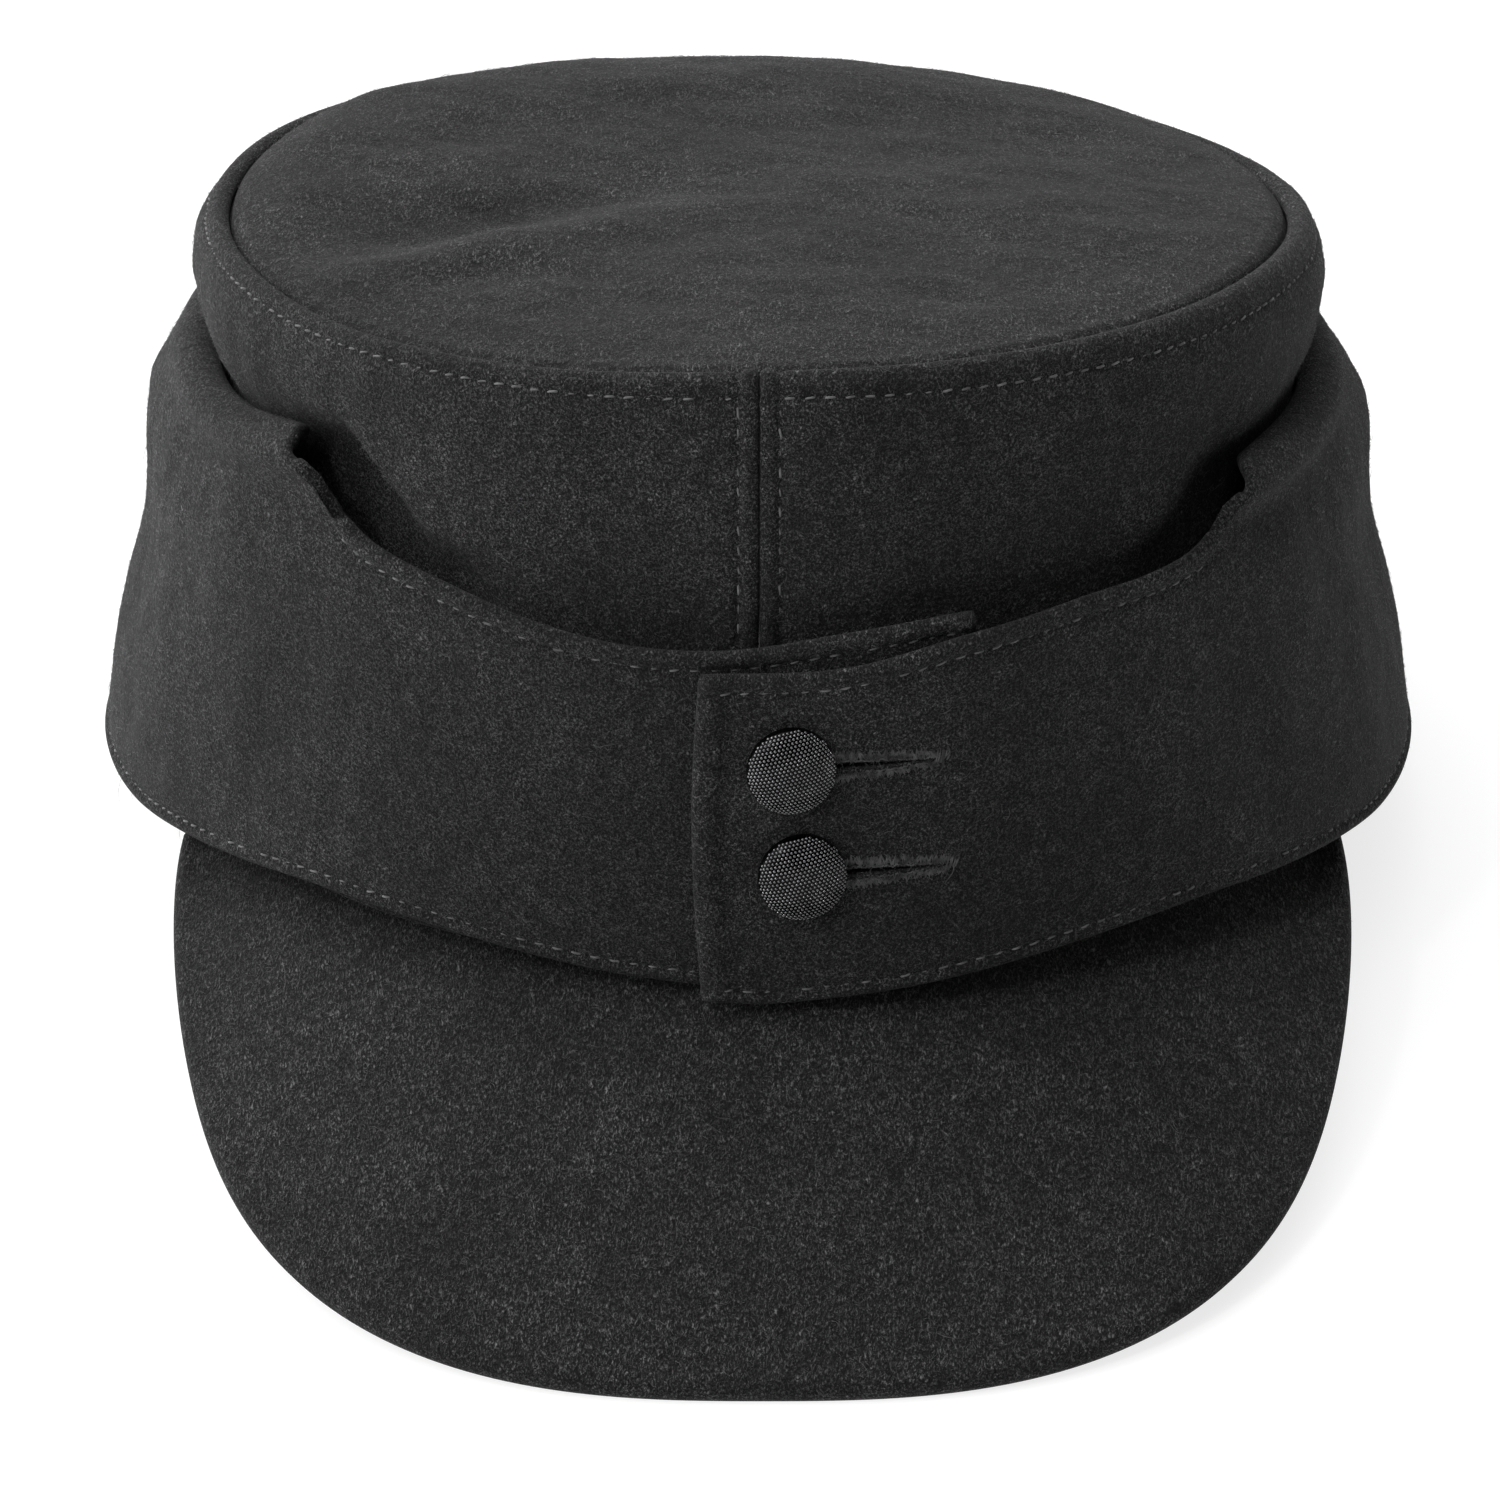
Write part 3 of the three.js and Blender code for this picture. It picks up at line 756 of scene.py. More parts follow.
def crown_side(side, sizes):
    """One half of the crown's wall, from the front seam to the back seam."""
    step = sizes.mesh_step / MM
    z, turn, from_top = (row[:, None] for row in crown_rows(step))
    angle, from_front, length = crown_columns(step)
    from_seam = np.minimum(from_front, length - from_front)
    grid = crown_surface(side * angle, z, turn)
    seam_x = SEAM_ROUNDING - sizes.seam_press / MM / 2
    grid[..., 0] = side * np.maximum(seam_x, side * grid[..., 0])
    faces = grid_faces(len(z) - 1, len(angle) - 1)
    if side < 0:
        faces = faces[:, ::-1]
    top_line = along(TOP_STITCH, "angle", "off", side * np.degrees(angle))
    puff = puffed(from_top, top_line) + puffed(from_seam, SEAM_STITCH)
    uneven = unevenness("wall", grid, from_top=from_top, from_seam=from_seam, z=z) - dent(side, angle, z)
    places = np.stack(np.broadcast_arrays(from_front / length, 1 - from_top / from_top[0]), -1)
    columns = len(angle)
    at_seam = np.isin(np.arange(columns), (0, columns - 1))
    reach = np.where(at_seam, SEAM_ROUNDING, ROUNDING) + 0 * z
    cloth = cloth_of(grid, faces, puff + uneven, sizes.cloth / MM - uneven, reach, places)
    ends = [int(np.argmin(np.abs(d - SEAM_STITCH))) for d in (from_front, length - from_front)]
    row = int(np.argmin(np.abs(from_top - top_line[ends[0]])))
    cloth.stitched = [np.arange(row) * columns + column for column in ends]
    across = np.arange(ends[0], ends[1] + 1)
    share = np.interp(-top_line[across], -from_top.ravel(), np.arange(len(z)))
    cloth.stitched.append((share, across))
    cloth.napped = cloth.top[faces].mean(1)[:, 2] > CROWN_NAP_FROM
    return cloth


def dent(side, angle, z):
    """How far the wall is pushed in along the top of the flap in front of it."""
    degrees = np.degrees(angle)
    flap = FLAP_OVER if side > 0 else FLAP_UNDER
    start = flap["fold_angle"]
    before, past = DENT["edge_to_fold"]
    edge, fold = free_edge(flap, degrees), along(flap["fold"], "angle", "z", degrees)
    above = z - between(edge, fold, smoothstep(degrees, start - before, start + past))
    at_side = smoothstep(degrees, start, start + DENT["to_side"])
    depth = between(flap["dent"], DENT["side_depth"], at_side) * smoothstep(degrees, *flap["dent_from"])
    depth = depth * (1 - DENT["back_less"] * smoothstep(degrees, *DENT["back"]))
    return depth * (1 - smoothstep(above, DENT["floor"], DENT["lip"])) * smoothstep(z, *DENT["foot"])


def hump_height(x, y):
    height = np.zeros(np.broadcast(x, y).shape)
    for hump in TOP_HUMPS:
        turn = math.radians(hump["turn"])
        dx, dy = x - hump["x"], y - hump["y"]
        down_it = (dx * math.cos(turn) + dy * math.sin(turn)) / hump["long"]
        across_it = (dy * math.cos(turn) - dx * math.sin(turn)) / hump["wide"]
        height += hump["rise"] * np.exp(-down_it**2 - across_it**2)
    return height


def crown_top(sizes):
    """The oval top panel: rings from its middle to the top seam, and its edge turned in under the wall."""
    step = sizes.mesh_step / MM
    angles = np.linspace(-math.pi, math.pi, 800)
    length = lengths_along(crown_surface(angles, RIM["z"], RIM["turn"]))
    columns = 2 * round(length[-1] / step / (2 * TOP_COLUMN))
    angle = np.interp(np.arange(columns) * length[-1] / columns, length, angles)
    seam = crown_surface(angle, RIM["z"], RIM["turn"])
    radius = np.linalg.norm(seam[:, :2], axis=1)
    inward = sizes.seam_gap / MM + ROUNDING
    from_seam = inward + spaced(radius.mean() - inward, step, FINE_SEAM)[:-1, None]
    share = 1 - from_seam / radius.mean()
    reach = (radius - inward) / radius * share / share[0]
    x, y = seam[:, 0] * reach, seam[:, 1] * reach
    swell = along(TOP_SWELL, "angle", "rise", np.abs(np.degrees(angle)))
    edge_z = seam[:, 2] + swell * (1 - np.exp(-radius * (1 - reach) / SWELL_REACH))
    z = between(TOP_CENTRE_Z, edge_z, share**2) + hump_height(x, y) * (1 - share**5)
    grid = np.stack([x, y, z], -1)[::-1]
    from_seam = from_seam[::-1]
    edge_in, drop = (TURNED_EDGE[name][:, None] for name in ("from_seam", "drop"))
    reach = (radius - edge_in) / radius
    turned = np.stack([seam[:, 0] * reach, seam[:, 1] * reach, z[0] - drop], -1)
    grid = np.concatenate([grid, turned])
    from_seam = np.concatenate([from_seam, edge_in])
    faces = grid_faces(len(grid) - 1, columns, wrap=True)[:, ::-1]
    k = np.arange(columns // 2 - 1)
    faces = np.concatenate([faces, np.stack([k, k + 1, columns - 2 - k, columns - 1 - k], 1)])
    uneven = unevenness("top", grid, from_seam=from_seam)
    from_shoulder = (from_seam - SHOULDER["from_seam"]) / SHOULDER["wide"]
    outer = SHOULDER["rise"] * np.exp(-(from_shoulder**2)) + uneven
    places = grid[..., :2] / (TOP_MAP_ROOM * radius.max()) + 0.5
    thick = between(TURNED_CLOTH, sizes.top_cloth / MM, smoothstep(from_seam, *TURNED_BLEND))
    cloth = cloth_of(grid, faces, outer, thick - uneven, TURNED_CLOTH / 2, places)
    cloth.stitched = []
    cloth.napped = faces.max(1) < (len(grid) - len(turned)) * columns
    return cloth


def leg_push(flap, angle, z):
    """How far the inner leg follows the dent in the wall, away from the fold's open end."""
    start = flap["fold_angle"]
    return dent(flap["side"], angle, z) * smoothstep(np.degrees(angle), start, start + LEG_PUSH_DEG)


def inner_leg(flap, angle, z):
    """A flap's middle surface on its inner leg, at an angle towards the flap's own side."""
    near = 0.01
    point = crown_surface(angle, z, 0.0)
    run = crown_surface(angle + near, z, 0.0) - point
    outward = unit(np.stack([run[..., 1], -run[..., 0], np.zeros_like(run[..., 0])], -1))
    return point + outward * np.expand_dims(LEG_GAP + CLOTH_HALF - leg_push(flap, angle, z), -1)


def outer_leg(flap, angle, z):
    """The same on its outer leg, where it hangs free of the fold."""
    degrees = np.degrees(angle)
    inward = flap["top_in"] * smoothstep(z, *TOP_IN["z"]) * smoothstep(degrees, *TOP_IN["from"])
    inward = CLOTH_HALF + inward * (1 - smoothstep(degrees, *TOP_IN["until"]))
    half, back = (along(FLAP_LEG, "z", c, z) - inward for c in ("half", "back"))
    return oval(angle, half, flap["front"] - inward, back, z, FLAP_POWER, FLAP_MIDDLE_Y)


def rolled(flap, angle, fold_z, turn):
    """The roll from the inner leg (turn 0) over the top (half of pi) to the outer leg (pi)."""
    inner = inner_leg(flap, angle, fold_z - FOLD_RADIUS)
    outward = outer_leg(flap, angle, fold_z - FOLD_RADIUS) - inner
    outward[..., 2] = 0
    stands = FOLD_STAND * np.exp(-(((np.degrees(angle) - flap["fold_angle"]) / FOLD_STAND_DEG) ** 2))
    stands = stands + leg_push(flap, angle, fold_z - FOLD_RADIUS) / 2
    points = inner + unit(outward) * np.expand_dims((FOLD_RADIUS + stands) * (1 - np.cos(turn)), -1)
    points[..., 2] = fold_z - FOLD_RADIUS * (1 - np.sin(turn))
    return points


def free_edge(flap, degrees):
    """The height of a flap's free top edge across the front, which meets the roll's outer foot."""
    edge = along(flap["edge"], "angle", "z", degrees) - ROUNDING
    foot = along(flap["fold"], "angle", "z", degrees) - FOLD_RADIUS
    meets = smoothstep(degrees, flap["fold_angle"] - EDGE_MEETS_DEG, flap["fold_angle"])
    return between(edge, foot, meets)


def flap_columns(flap, step):
    """A flap's columns as shares from its free end to the fold's start, and from there to the back seam."""
    start = flap["fold_angle"]
    angles = np.radians(np.linspace(0, start, 200))
    length = lengths_along(outer_leg(flap, angles, FLAP_MEASURED_Z))
    end = float(-flap["end_x"] + length[-1])
    front = spaced(end, step, FINE_SEAM, FINE_END) / end
    angles = np.radians(np.linspace(start, 180, 400))
    length = lengths_along(outer_leg(flap, angles, FLAP_MEASURED_Z))
    wanted = spaced(length[-1] - SEAM_ROUNDING, step, (), FINE_SEAM)
    degrees = np.degrees(np.interp(wanted, length, angles))
    return front, (degrees - start) / (180 - start), end


def flap_inner(flap, sizes, share_back):
    """A flap's inner leg and the first half of its roll, row by row from the bottom up."""
    start = flap["fold_angle"]
    row = np.arange(APEX_ROW)[:, None]
    fold_z = along(flap["fold"], "angle", "z", between(start, 180, share_back))
    up_leg, up_roll = np.minimum(1, row / INNER_ROWS), np.maximum(0, row - INNER_ROWS) / (ROLL_ROWS / 2)
    foot_z = sizes.seam_gap / MM + ROUNDING + LEG_LIFT * (1 - smoothstep(share_back, *LEG_LIFT_UNTIL))
    z = between(foot_z, fold_z - FOLD_RADIUS, up_leg)
    leg_edge = along(INNER_EDGE, "z", "angle", z) + flap["inner_shift"] + INNER_ROUNDING_DEG
    angle = np.radians(between(between(leg_edge, start + flap["slant"], up_roll), 180, share_back))
    on_roll = rolled(flap, angle, fold_z + 0 * z, up_roll * math.pi / 2)
    return np.where(row[..., None] < INNER_ROWS, inner_leg(flap, angle, z), on_roll)


def outer_heights(flap, degrees, folded, down, turn):
    """Heights down a flap's outer side, and how far each lies from the top edge and from the hem.

    down is each row's way down a leg of LEG_LENGTH. Rows near either end keep their distance from it, and
    the others spread over what lies between."""
    top = np.where(folded, along(flap["fold"], "angle", "z", degrees), free_edge(flap, degrees))
    lift = flap["front_lift"] * np.maximum(0, np.cos(np.radians(degrees)))
    low = along(FLAP_BOTTOM, "angle", "z", np.abs(degrees)) + lift + ROUNDING
    high = top - FOLD_RADIUS * (1 - np.sin(turn)) * folded
    height = high - low
    fine = FINE_HEM[-1]
    middle = between(fine, height - fine, (down - fine) / (LEG_LENGTH - 2 * fine))
    at_hem = down >= LEG_LENGTH - fine
    fall = np.where(down <= fine, down, np.where(at_hem, height - (LEG_LENGTH - down), middle))
    return high - fall, fall + top - high, height - fall


def flap_outer(flap, step, start, share_front, share_back):
    """The other half of a flap's roll and its outer leg, row by row from the top down.

    start is the column at which the fold starts. The rows' angles in degrees and their distances from the
    top edge and from the hem come with them."""
    turns = np.linspace(math.pi / 2, math.pi, ROLL_ROWS // 2 + 1)
    down = spaced(LEG_LENGTH, step, FINE_HEM, FINE_HEM)[1:]
    turn = np.concatenate([turns, np.full(len(down), math.pi)])[:, None]
    down = np.concatenate([np.zeros(len(turns)), down])[:, None]
    z = outer_heights(flap, np.zeros(1), np.zeros(1, bool), down, turn)[0]
    bow = np.sin(np.pi * np.clip(z, 0, END_BOW_HEIGHT) / END_BOW_HEIGHT)
    end_x = flap["end_x"] + flap["end_bow"] * bow
    half = along(FLAP_LEG, "z", "half", z) - CLOTH_HALF
    end = np.degrees(angle_of_x(end_x + END_ROUNDING, half, FLAP_POWER))
    fold_angle = flap["fold_angle"]
    roll_end = fold_angle + flap["slant"] * (2 - 2 * turn / math.pi)
    degrees = between(between(end, roll_end, share_front), 180, share_back)
    folded = np.arange(len(share_front)) >= start
    z, from_edge, from_hem = outer_heights(flap, degrees, folded, down, turn)
    angle = np.radians(degrees)
    fold_z = along(flap["fold"], "angle", "z", degrees)
    over = rolled(flap, angle, fold_z, np.broadcast_to(turn, degrees.shape))
    over[..., 2] = z
    fade = smoothstep(degrees, fold_angle - FOLD_FADE_DEG, fold_angle)
    below_roll = np.maximum(0, fold_z - FOLD_RADIUS - z)
    lean = np.where(turn < math.pi, 1, np.maximum(0, 1 - below_roll / LEAN_HEIGHT) ** 2)
    outer = between(outer_leg(flap, angle, z), over, (fade * lean)[..., None])
    return outer, degrees, from_edge, from_hem


def flap_cloth(flap, sizes):
    """A flap. Its columns run from the free end to the back seam, and its rows from the bottom of the inner
    leg, over the fold, to the bottom of the outer leg."""
    step = sizes.mesh_step / MM
    front, back, front_length = flap_columns(flap, step)
    start = len(front) - 1
    share_front = np.concatenate([front, np.ones(len(back) - 1)])
    share_back = np.concatenate([np.zeros(start), back])
    inner = flap_inner(flap, sizes, share_back)
    outer, degrees, from_edge, from_hem = flap_outer(flap, step, start, share_front, share_back)
    grid = np.concatenate([inner, outer])
    grid[..., 0] *= flap["side"]
    seam_x = SEAM_ROUNDING - sizes.seam_press / MM / 2
    off_seam = flap["side"] * np.maximum(seam_x, flap["side"] * grid[..., 0])
    grid[..., 0] = np.where(grid[..., 1] > 0, off_seam, grid[..., 0])
    rows, columns = grid.shape[:2]
    foot_row = APEX_ROW + ROLL_ROWS // 2
    j, k = np.meshgrid(np.arange(rows - 1), np.arange(columns - 1), indexing="ij")
    faces = grid_faces(rows - 1, columns - 1, keep=(j >= foot_row) | (k >= start))
    if flap["side"] > 0:
        faces = faces[:, ::-1]

    # Swells and grooves by the free edge, the hem and the ends, and soft waves away from the overlap
    fold_angle = flap["fold_angle"]
    from_end = np.where(share_back > 0, FAR, share_front * front_length + END_ROUNDING)
    from_back = (1 - share_back) * FLAP_BACK_LENGTH + SEAM_ROUNDING
    at_edge = 1 - smoothstep(degrees, *(fold_angle - d for d in EDGE_SWELL_ENDS))
    puff = puffed(from_edge + ROUNDING, EDGE_STITCH, groove=HEM_GROOVE) * at_edge
    puff = puff + puffed(from_hem + ROUNDING, HEM_STITCH, groove=HEM_GROOVE)
    puff = puff + puffed(from_end, **END_SWELL) + puffed(from_back, SEAM_STITCH) * (share_back > 0.5)
    uneven = unevenness("flap", outer, degrees=degrees, from_hem=from_hem, from_edge=from_edge)
    none = np.zeros(inner.shape[:2])
    puff, uneven = np.concatenate([none, puff]), np.concatenate([none, uneven])

    across, up = np.linspace(0, 1, columns), np.linspace(0, 1, rows)[:, None]
    places = np.stack(np.broadcast_arrays(across, up), -1)
    half_cloth = sizes.cloth / MM / 2
    reach = np.full((rows, columns), ROUNDING)
    reach[:, 0], reach[:, -1] = END_ROUNDING, SEAM_ROUNDING
    cloth = cloth_of(grid, faces, half_cloth + puff + uneven, half_cloth - uneven, reach, places)
    hem_row = APEX_ROW + int(np.argmin(np.abs(from_hem[:, start] + ROUNDING - HEM_STITCH)))
    first = int(np.argmin(np.abs(from_end - END_STITCH)))
    last = int(np.argmin(np.abs(degrees[ROLL_ROWS // 2] - (fold_angle - EDGE_MEETS_DEG))))
    cloth.stitched = [
        (foot_row + EDGE_STITCH_ROW) * columns + np.arange(first, last),
        hem_row * columns + np.arange(first, columns - 2),
    ]
    cloth.napped = faces.min(1) >= FLAP_NAP_ROW * columns
    return cloth


def peak_cloth(sizes):
    """The covered peak, from the crown's base to its D-shaped edge."""
    step = sizes.mesh_step / MM
    half_board = sizes.peak_board / MM / 2
    turn = np.linspace(-math.pi / 2, math.pi / 2, 600)

    def edge_points(turn):
        edge = oval(turn, PEAK["half"], -PEAK["tip_y"], 0.0, 0.0, PEAK["power"], PEAK["back_y"])
        forward = (PEAK["back_y"] - edge[..., 1]) / (PEAK["back_y"] - PEAK["tip_y"])
        edge[..., 0] += PEAK["middle_x"] - PEAK["waist"] * np.sin(turn) * np.sin(np.pi * forward) ** 2
        edge[..., 2] = between(PEAK["corner_z"], PEAK["tip_z"], forward)
        return edge

    length = lengths_along(edge_points(turn))
    wanted = half_board + spaced(length[-1] - 2 * half_board, PEAK_COLUMN * step)
    share = np.interp(wanted, length, turn) / (math.pi / 2)
    half, front, seat_z = (PEAK_SEAT[name] for name in ("half", "front", "z"))
    seat = oval(np.radians(PEAK_SEAT["angle"]) * share, half, front, front, seat_z, OVAL_POWER)
    edge = edge_points(share * math.pi / 2)
    run = np.linalg.norm(edge - seat, axis=1)
    down = spaced(float(run.max()), PEAK_COLUMN * step, (), FINE_PEAK)[:, None] / run.max()
    reach = between(-PEAK["tuck"] / run, 1 - half_board / run, down)
    grid = between(seat, edge, reach[..., None])
    faces = grid_faces(len(down) - 1, len(share) - 1)[:, ::-1]
    from_edge = (1 - reach) * run
    uneven = unevenness("peak", grid, from_edge=from_edge)
    places = np.stack(np.broadcast_arrays((share + 1) / 2, down), -1)
    cloth = cloth_of(grid, faces, half_board + uneven, half_board - uneven, half_board, places)
    cloth.stitched = []
    cloth.napped = np.ones(len(faces), bool)
    return cloth


# Pieces from arrays


def to_row(points):
    """Points of the cap's own frame in the row's, in metres. Cloth below the floor is pressed flat."""
    matrix = np.array(CAP_TO_ROW)
    placed = points @ matrix[:3, :3].T + matrix[:3, 3]
    placed[:, 2] = np.maximum(placed[:, 2], 0.0)
    return placed


def mesh_piece(name, vertices, faces, material, flat=None):
    """A new piece from vertices in the cap's own frame. flat is each vertex's place on the texture map."""
    used = np.unique(faces)
    renumber = np.zeros(len(vertices), int)
    renumber[used] = np.arange(len(used))
    faces = renumber[faces]
    mesh = bpy.data.meshes.new(name)
    mesh.vertices.add(len(used))
    mesh.vertices.foreach_set("co", to_row(vertices[used]).ravel())
    mesh.loops.add(faces.size)
    mesh.loops.foreach_set("vertex_index", faces.ravel().astype(np.int32))
    mesh.polygons.add(len(faces))
    mesh.polygons.foreach_set("loop_start", np.arange(0, faces.size, faces.shape[1], dtype=np.int32))
    mesh.update(calc_edges=True)
    mesh.validate()
    if flat is not None:
        layer = mesh.uv_layers.new(name="OFBake")
        layer.data.foreach_set("uv", flat[used][faces.ravel()].ravel())
    mesh.polygons.foreach_set("use_smooth", np.ones(len(mesh.polygons), bool))
    mesh.materials.append(material)
    piece = bpy.data.objects.new(name, mesh)
    bpy.context.scene.collection.objects.link(piece)
    return piece


def settled(piece, slot, *nodes):
    """Hangs a finished piece on the root and hides the CAD nodes that it stands for. The finish named by
    slot is not used.
    """
    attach(piece, "root")
    if nodes:
        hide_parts(*nodes)
    return piece


def tube(points, normals, radius, sides=6):
    """A thread along a line of points, pointed at both ends, as vertices and faces."""
    count = len(points)
    along_it = unit(np.gradient(points, axis=0))
    beside = unit(np.cross(along_it, normals))
    above = np.cross(beside, along_it)
    thick = np.full(count, radius)
    thick[[0, -1]] = POINTED * radius
    turn = np.arange(sides) * 2 * np.pi / sides
    ring = beside[:, None] * np.cos(turn)[:, None] + above[:, None] * np.sin(turn)[:, None]
    vertices = (points[:, None] + ring * thick[:, None, None]).reshape(-1, 3)
    faces = grid_faces(count - 1, sides, wrap=True)[:, ::-1]
    first, last = np.arange(sides), np.arange(sides) + (count - 1) * sides
    caps = []
    for i in range(sides // 2 - 1):
        caps.append([first[i], first[i + 1], first[sides - 2 - i], first[sides - 1 - i]])
        caps.append([last[i + 1], last[i], last[sides - 1 - i], last[sides - 2 - i]])
    return vertices, np.concatenate([faces, np.array(caps)])


def joined(parts):
    """Several meshes, as vertices and faces, made one."""
    firsts = np.cumsum([0] + [len(v) for v, _ in parts[:-1]])
    vertices = np.concatenate([v for v, _ in parts])
    return vertices, np.concatenate([f + first for (_, f), first in zip(parts, firsts)])


def resampled(points, at, key):
    """Places between the points of a line, at values of a key that rises along it."""
    return np.stack([np.interp(at, key, points[:, c]) for c in range(3)], -1)


def stitches(points, normals, pitch, radius, draws):
    """A row of topstitches: each one rises from its hole, lies on the cloth and sinks again."""
    length = lengths_along(points)
    points_each = STITCH["points"]
    arch = np.sin(np.linspace(0, np.pi, points_each)) ** STITCH["roundness"] * STITCH["rise"]
    parts = []
    for i in range(int(length[-1] / pitch)):
        here = (i + np.linspace(*STITCH["span"], points_each)) * pitch
        place, normal = resampled(points, here, length), unit(resampled(normals, here, length))
        lift = (arch - STITCH["root"] + draws.uniform(*STITCH["sunk"]))[:, None]
        skew = draws.uniform(0.0, STITCH["skew"])
        aside = np.cross(normal, unit(np.gradient(place, axis=0)))
        slant = aside * np.linspace(-skew, skew, points_each)[:, None]
        parts.append(tube(place + normal * lift + slant, normal, radius))
    return joined(parts)


# Materials


def new_material(name):
    material = bpy.data.materials.new(name)
    material.use_nodes = True
    return material, material.node_tree.nodes, material.node_tree.links


def filled(node, values):
    """A node with some of its sockets set."""
    for name, value in values.items():
        node.inputs[name].default_value = value
    return node


def noise(nodes, links, vector, scale, detail=2.0, distortion=0.0):
    node = nodes.new("ShaderNodeTexNoise")
    filled(node, {"Scale": scale, "Detail": detail, "Distortion": distortion})
    links.new(vector, node.inputs["Vector"])
    return node.outputs["Fac"]


def stretched(nodes, links, vector, turn, scale):
    """Coordinates turned and then scaled unevenly, for streaks."""
    node = filled(nodes.new("ShaderNodeMapping"), {"Rotation": turn, "Scale": scale})
    links.new(vector, node.inputs["Vector"])
    return node.outputs["Vector"]


def maths(nodes, links, operation, *values):
    node = nodes.new("ShaderNodeMath")
    node.operation = operation
    for socket, value in zip(node.inputs, values):
        if isinstance(value, (int, float)):
            socket.default_value = value
        else:
            links.new(value, socket)
    return node.outputs["Value"]


def ranged(nodes, links, value, low, high, to_low=0.0, to_high=1.0):
    """A value's range from low to high made one from to_low to to_high, and held there."""
    node = nodes.new("ShaderNodeMapRange")
    filled(node, {"From Min": low, "From Max": high, "To Min": to_low, "To Max": to_high})
    links.new(value, node.inputs["Value"])
    return node.outputs["Result"]


def mixed(nodes, links, share, dark, light):
    node = nodes.new("ShaderNodeMix")
    node.data_type = "RGBA"
    filled(node, {"A": (*dark, 1), "B": (*light, 1)})
    links.new(share, node.inputs["Factor"])
    return node.outputs["Result"]


def bumped(nodes, links, height, strength, distance, shader):
    node = filled(nodes.new("ShaderNodeBump"), {"Strength": strength, "Distance": distance})
    links.new(height, node.inputs["Height"])
    links.new(node.outputs["Normal"], shader.inputs["Normal"])


def wool_material(finish):
    """Milled wool: fine tangled fibres over a dark ground, lighter in soft patches, with a faint sheen."""
    material, nodes, links = new_material("black_wool")
    shader = nodes["Principled BSDF"]
    place = nodes.new("ShaderNodeTexCoord").outputs["Object"]
    streaks = None
    for turn in FIBRE_TURNS:
        vector = stretched(nodes, links, place, turn, FIBRE_STRETCH)
        one = noise(nodes, links, vector, scale=1.0, detail=1.0, distortion=0.6)
        streaks = one if streaks is None else maths(nodes, links, "MAXIMUM", streaks, one)
    streaks = ranged(nodes, links, streaks, *FIBRE_RANGE)
    layers = {}
    for name, (scale, detail, distortion, to_low, to_high) in WOOL_LAYERS.items():
        one = noise(nodes, links, place, scale, detail, distortion)
        layers[name] = ranged(nodes, links, one, *MIDDLE_RANGE, to_low, to_high)
    grain = maths(nodes, links, "MULTIPLY", layers["grain"], 1 - STREAK_SHARE)
    fibres = maths(nodes, links, "MULTIPLY_ADD", streaks, STREAK_SHARE, grain)
    clumped = ranged(nodes, links, layers["clumps"], 0.0, 1.0, *CLUMP_SHADES)
    share = maths(nodes, links, "MULTIPLY", fibres, clumped)
    share = maths(nodes, links, "MULTIPLY", share, layers["patches"])
    share = maths(nodes, links, "POWER", share, WOOL_CONTRAST)
    links.new(mixed(nodes, links, share, finish.wool_dark, finish.wool_light), shader.inputs["Base Color"])
    filled(shader, WOOL_SURFACE)
    height = maths(nodes, links, "MULTIPLY_ADD", layers["clumps"], CLUMP_HEIGHT, fibres)
    bumped(nodes, links, height, 1.0, WOOL_BUMP, shader)
    return material


def fibre_material(name, colour, spread, roughness):
    """Loose fibre or thread, each a little lighter or darker than the next."""
    material, nodes, links = new_material(name)
    shader = filled(nodes["Principled BSDF"], {**FIBRE_SURFACE, "Roughness": roughness})
    place = nodes.new("ShaderNodeTexCoord").outputs["Object"]
    share = ranged(nodes, links, noise(nodes, links, place, scale=900.0, detail=1.0), low=0.35, high=0.65)
    dark, light = ([c * s for c in colour] for s in (1 - spread, 1 + spread))
    links.new(mixed(nodes, links, share, dark, light), shader.inputs["Base Color"])
    return material


def metal_material(name, colour):
    """Dark burnished metal, duller in faint patches, worn a little brighter here and there."""
    material, nodes, links = new_material(name)
    shader = filled(nodes["Principled BSDF"], {"Metallic": 0.9})
    place = nodes.new("ShaderNodeTexCoord").outputs["Object"]
    wear = ranged(nodes, links, noise(nodes, links, place, scale=700.0, detail=3.0), low=0.35, high=0.7)
    dark, light = ([c * s for c in colour] for s in METAL_SHADES)
    links.new(mixed(nodes, links, wear, dark, light), shader.inputs["Base Color"])
    dull = noise(nodes, links, place, scale=2600.0)
    links.new(ranged(nodes, links, dull, *MIDDLE_RANGE, *METAL_ROUGHNESS), shader.inputs["Roughness"])
    return material


MATERIALS = {}


def material_of(name):
    """Each finish is made once and then shared."""
    finish = bpy.context.scene.cap_finish
    hole_thread = [HOLE_THREAD_SHADE * c for c in finish.thread]
    # The metal between the grains is darkened far below the grains' own: painted shade in the hollows
    ground = [METAL_GROUND_PAINTED_SHADE * c for c in finish.metal]
    makers = {
        "wool": lambda: wool_material(finish),
        "nap": lambda: fibre_material("loose_wool", finish.fibre, spread=0.5, roughness=0.7),
        "thread": lambda: fibre_material("sewing_thread", finish.thread, spread=0.35, roughness=0.55),
        "hole_thread": lambda: fibre_material("buttonhole_thread", hole_thread, spread=0.8, roughness=0.8),
        "metal": lambda: metal_material("burnished_metal", finish.metal),
        "metal_painted_shade": lambda: metal_material("metal_with_painted_shade", ground),
    }
    if name not in MATERIALS:
        MATERIALS[name] = makers[name]()
    return MATERIALS[name]


CLOTHS = {}


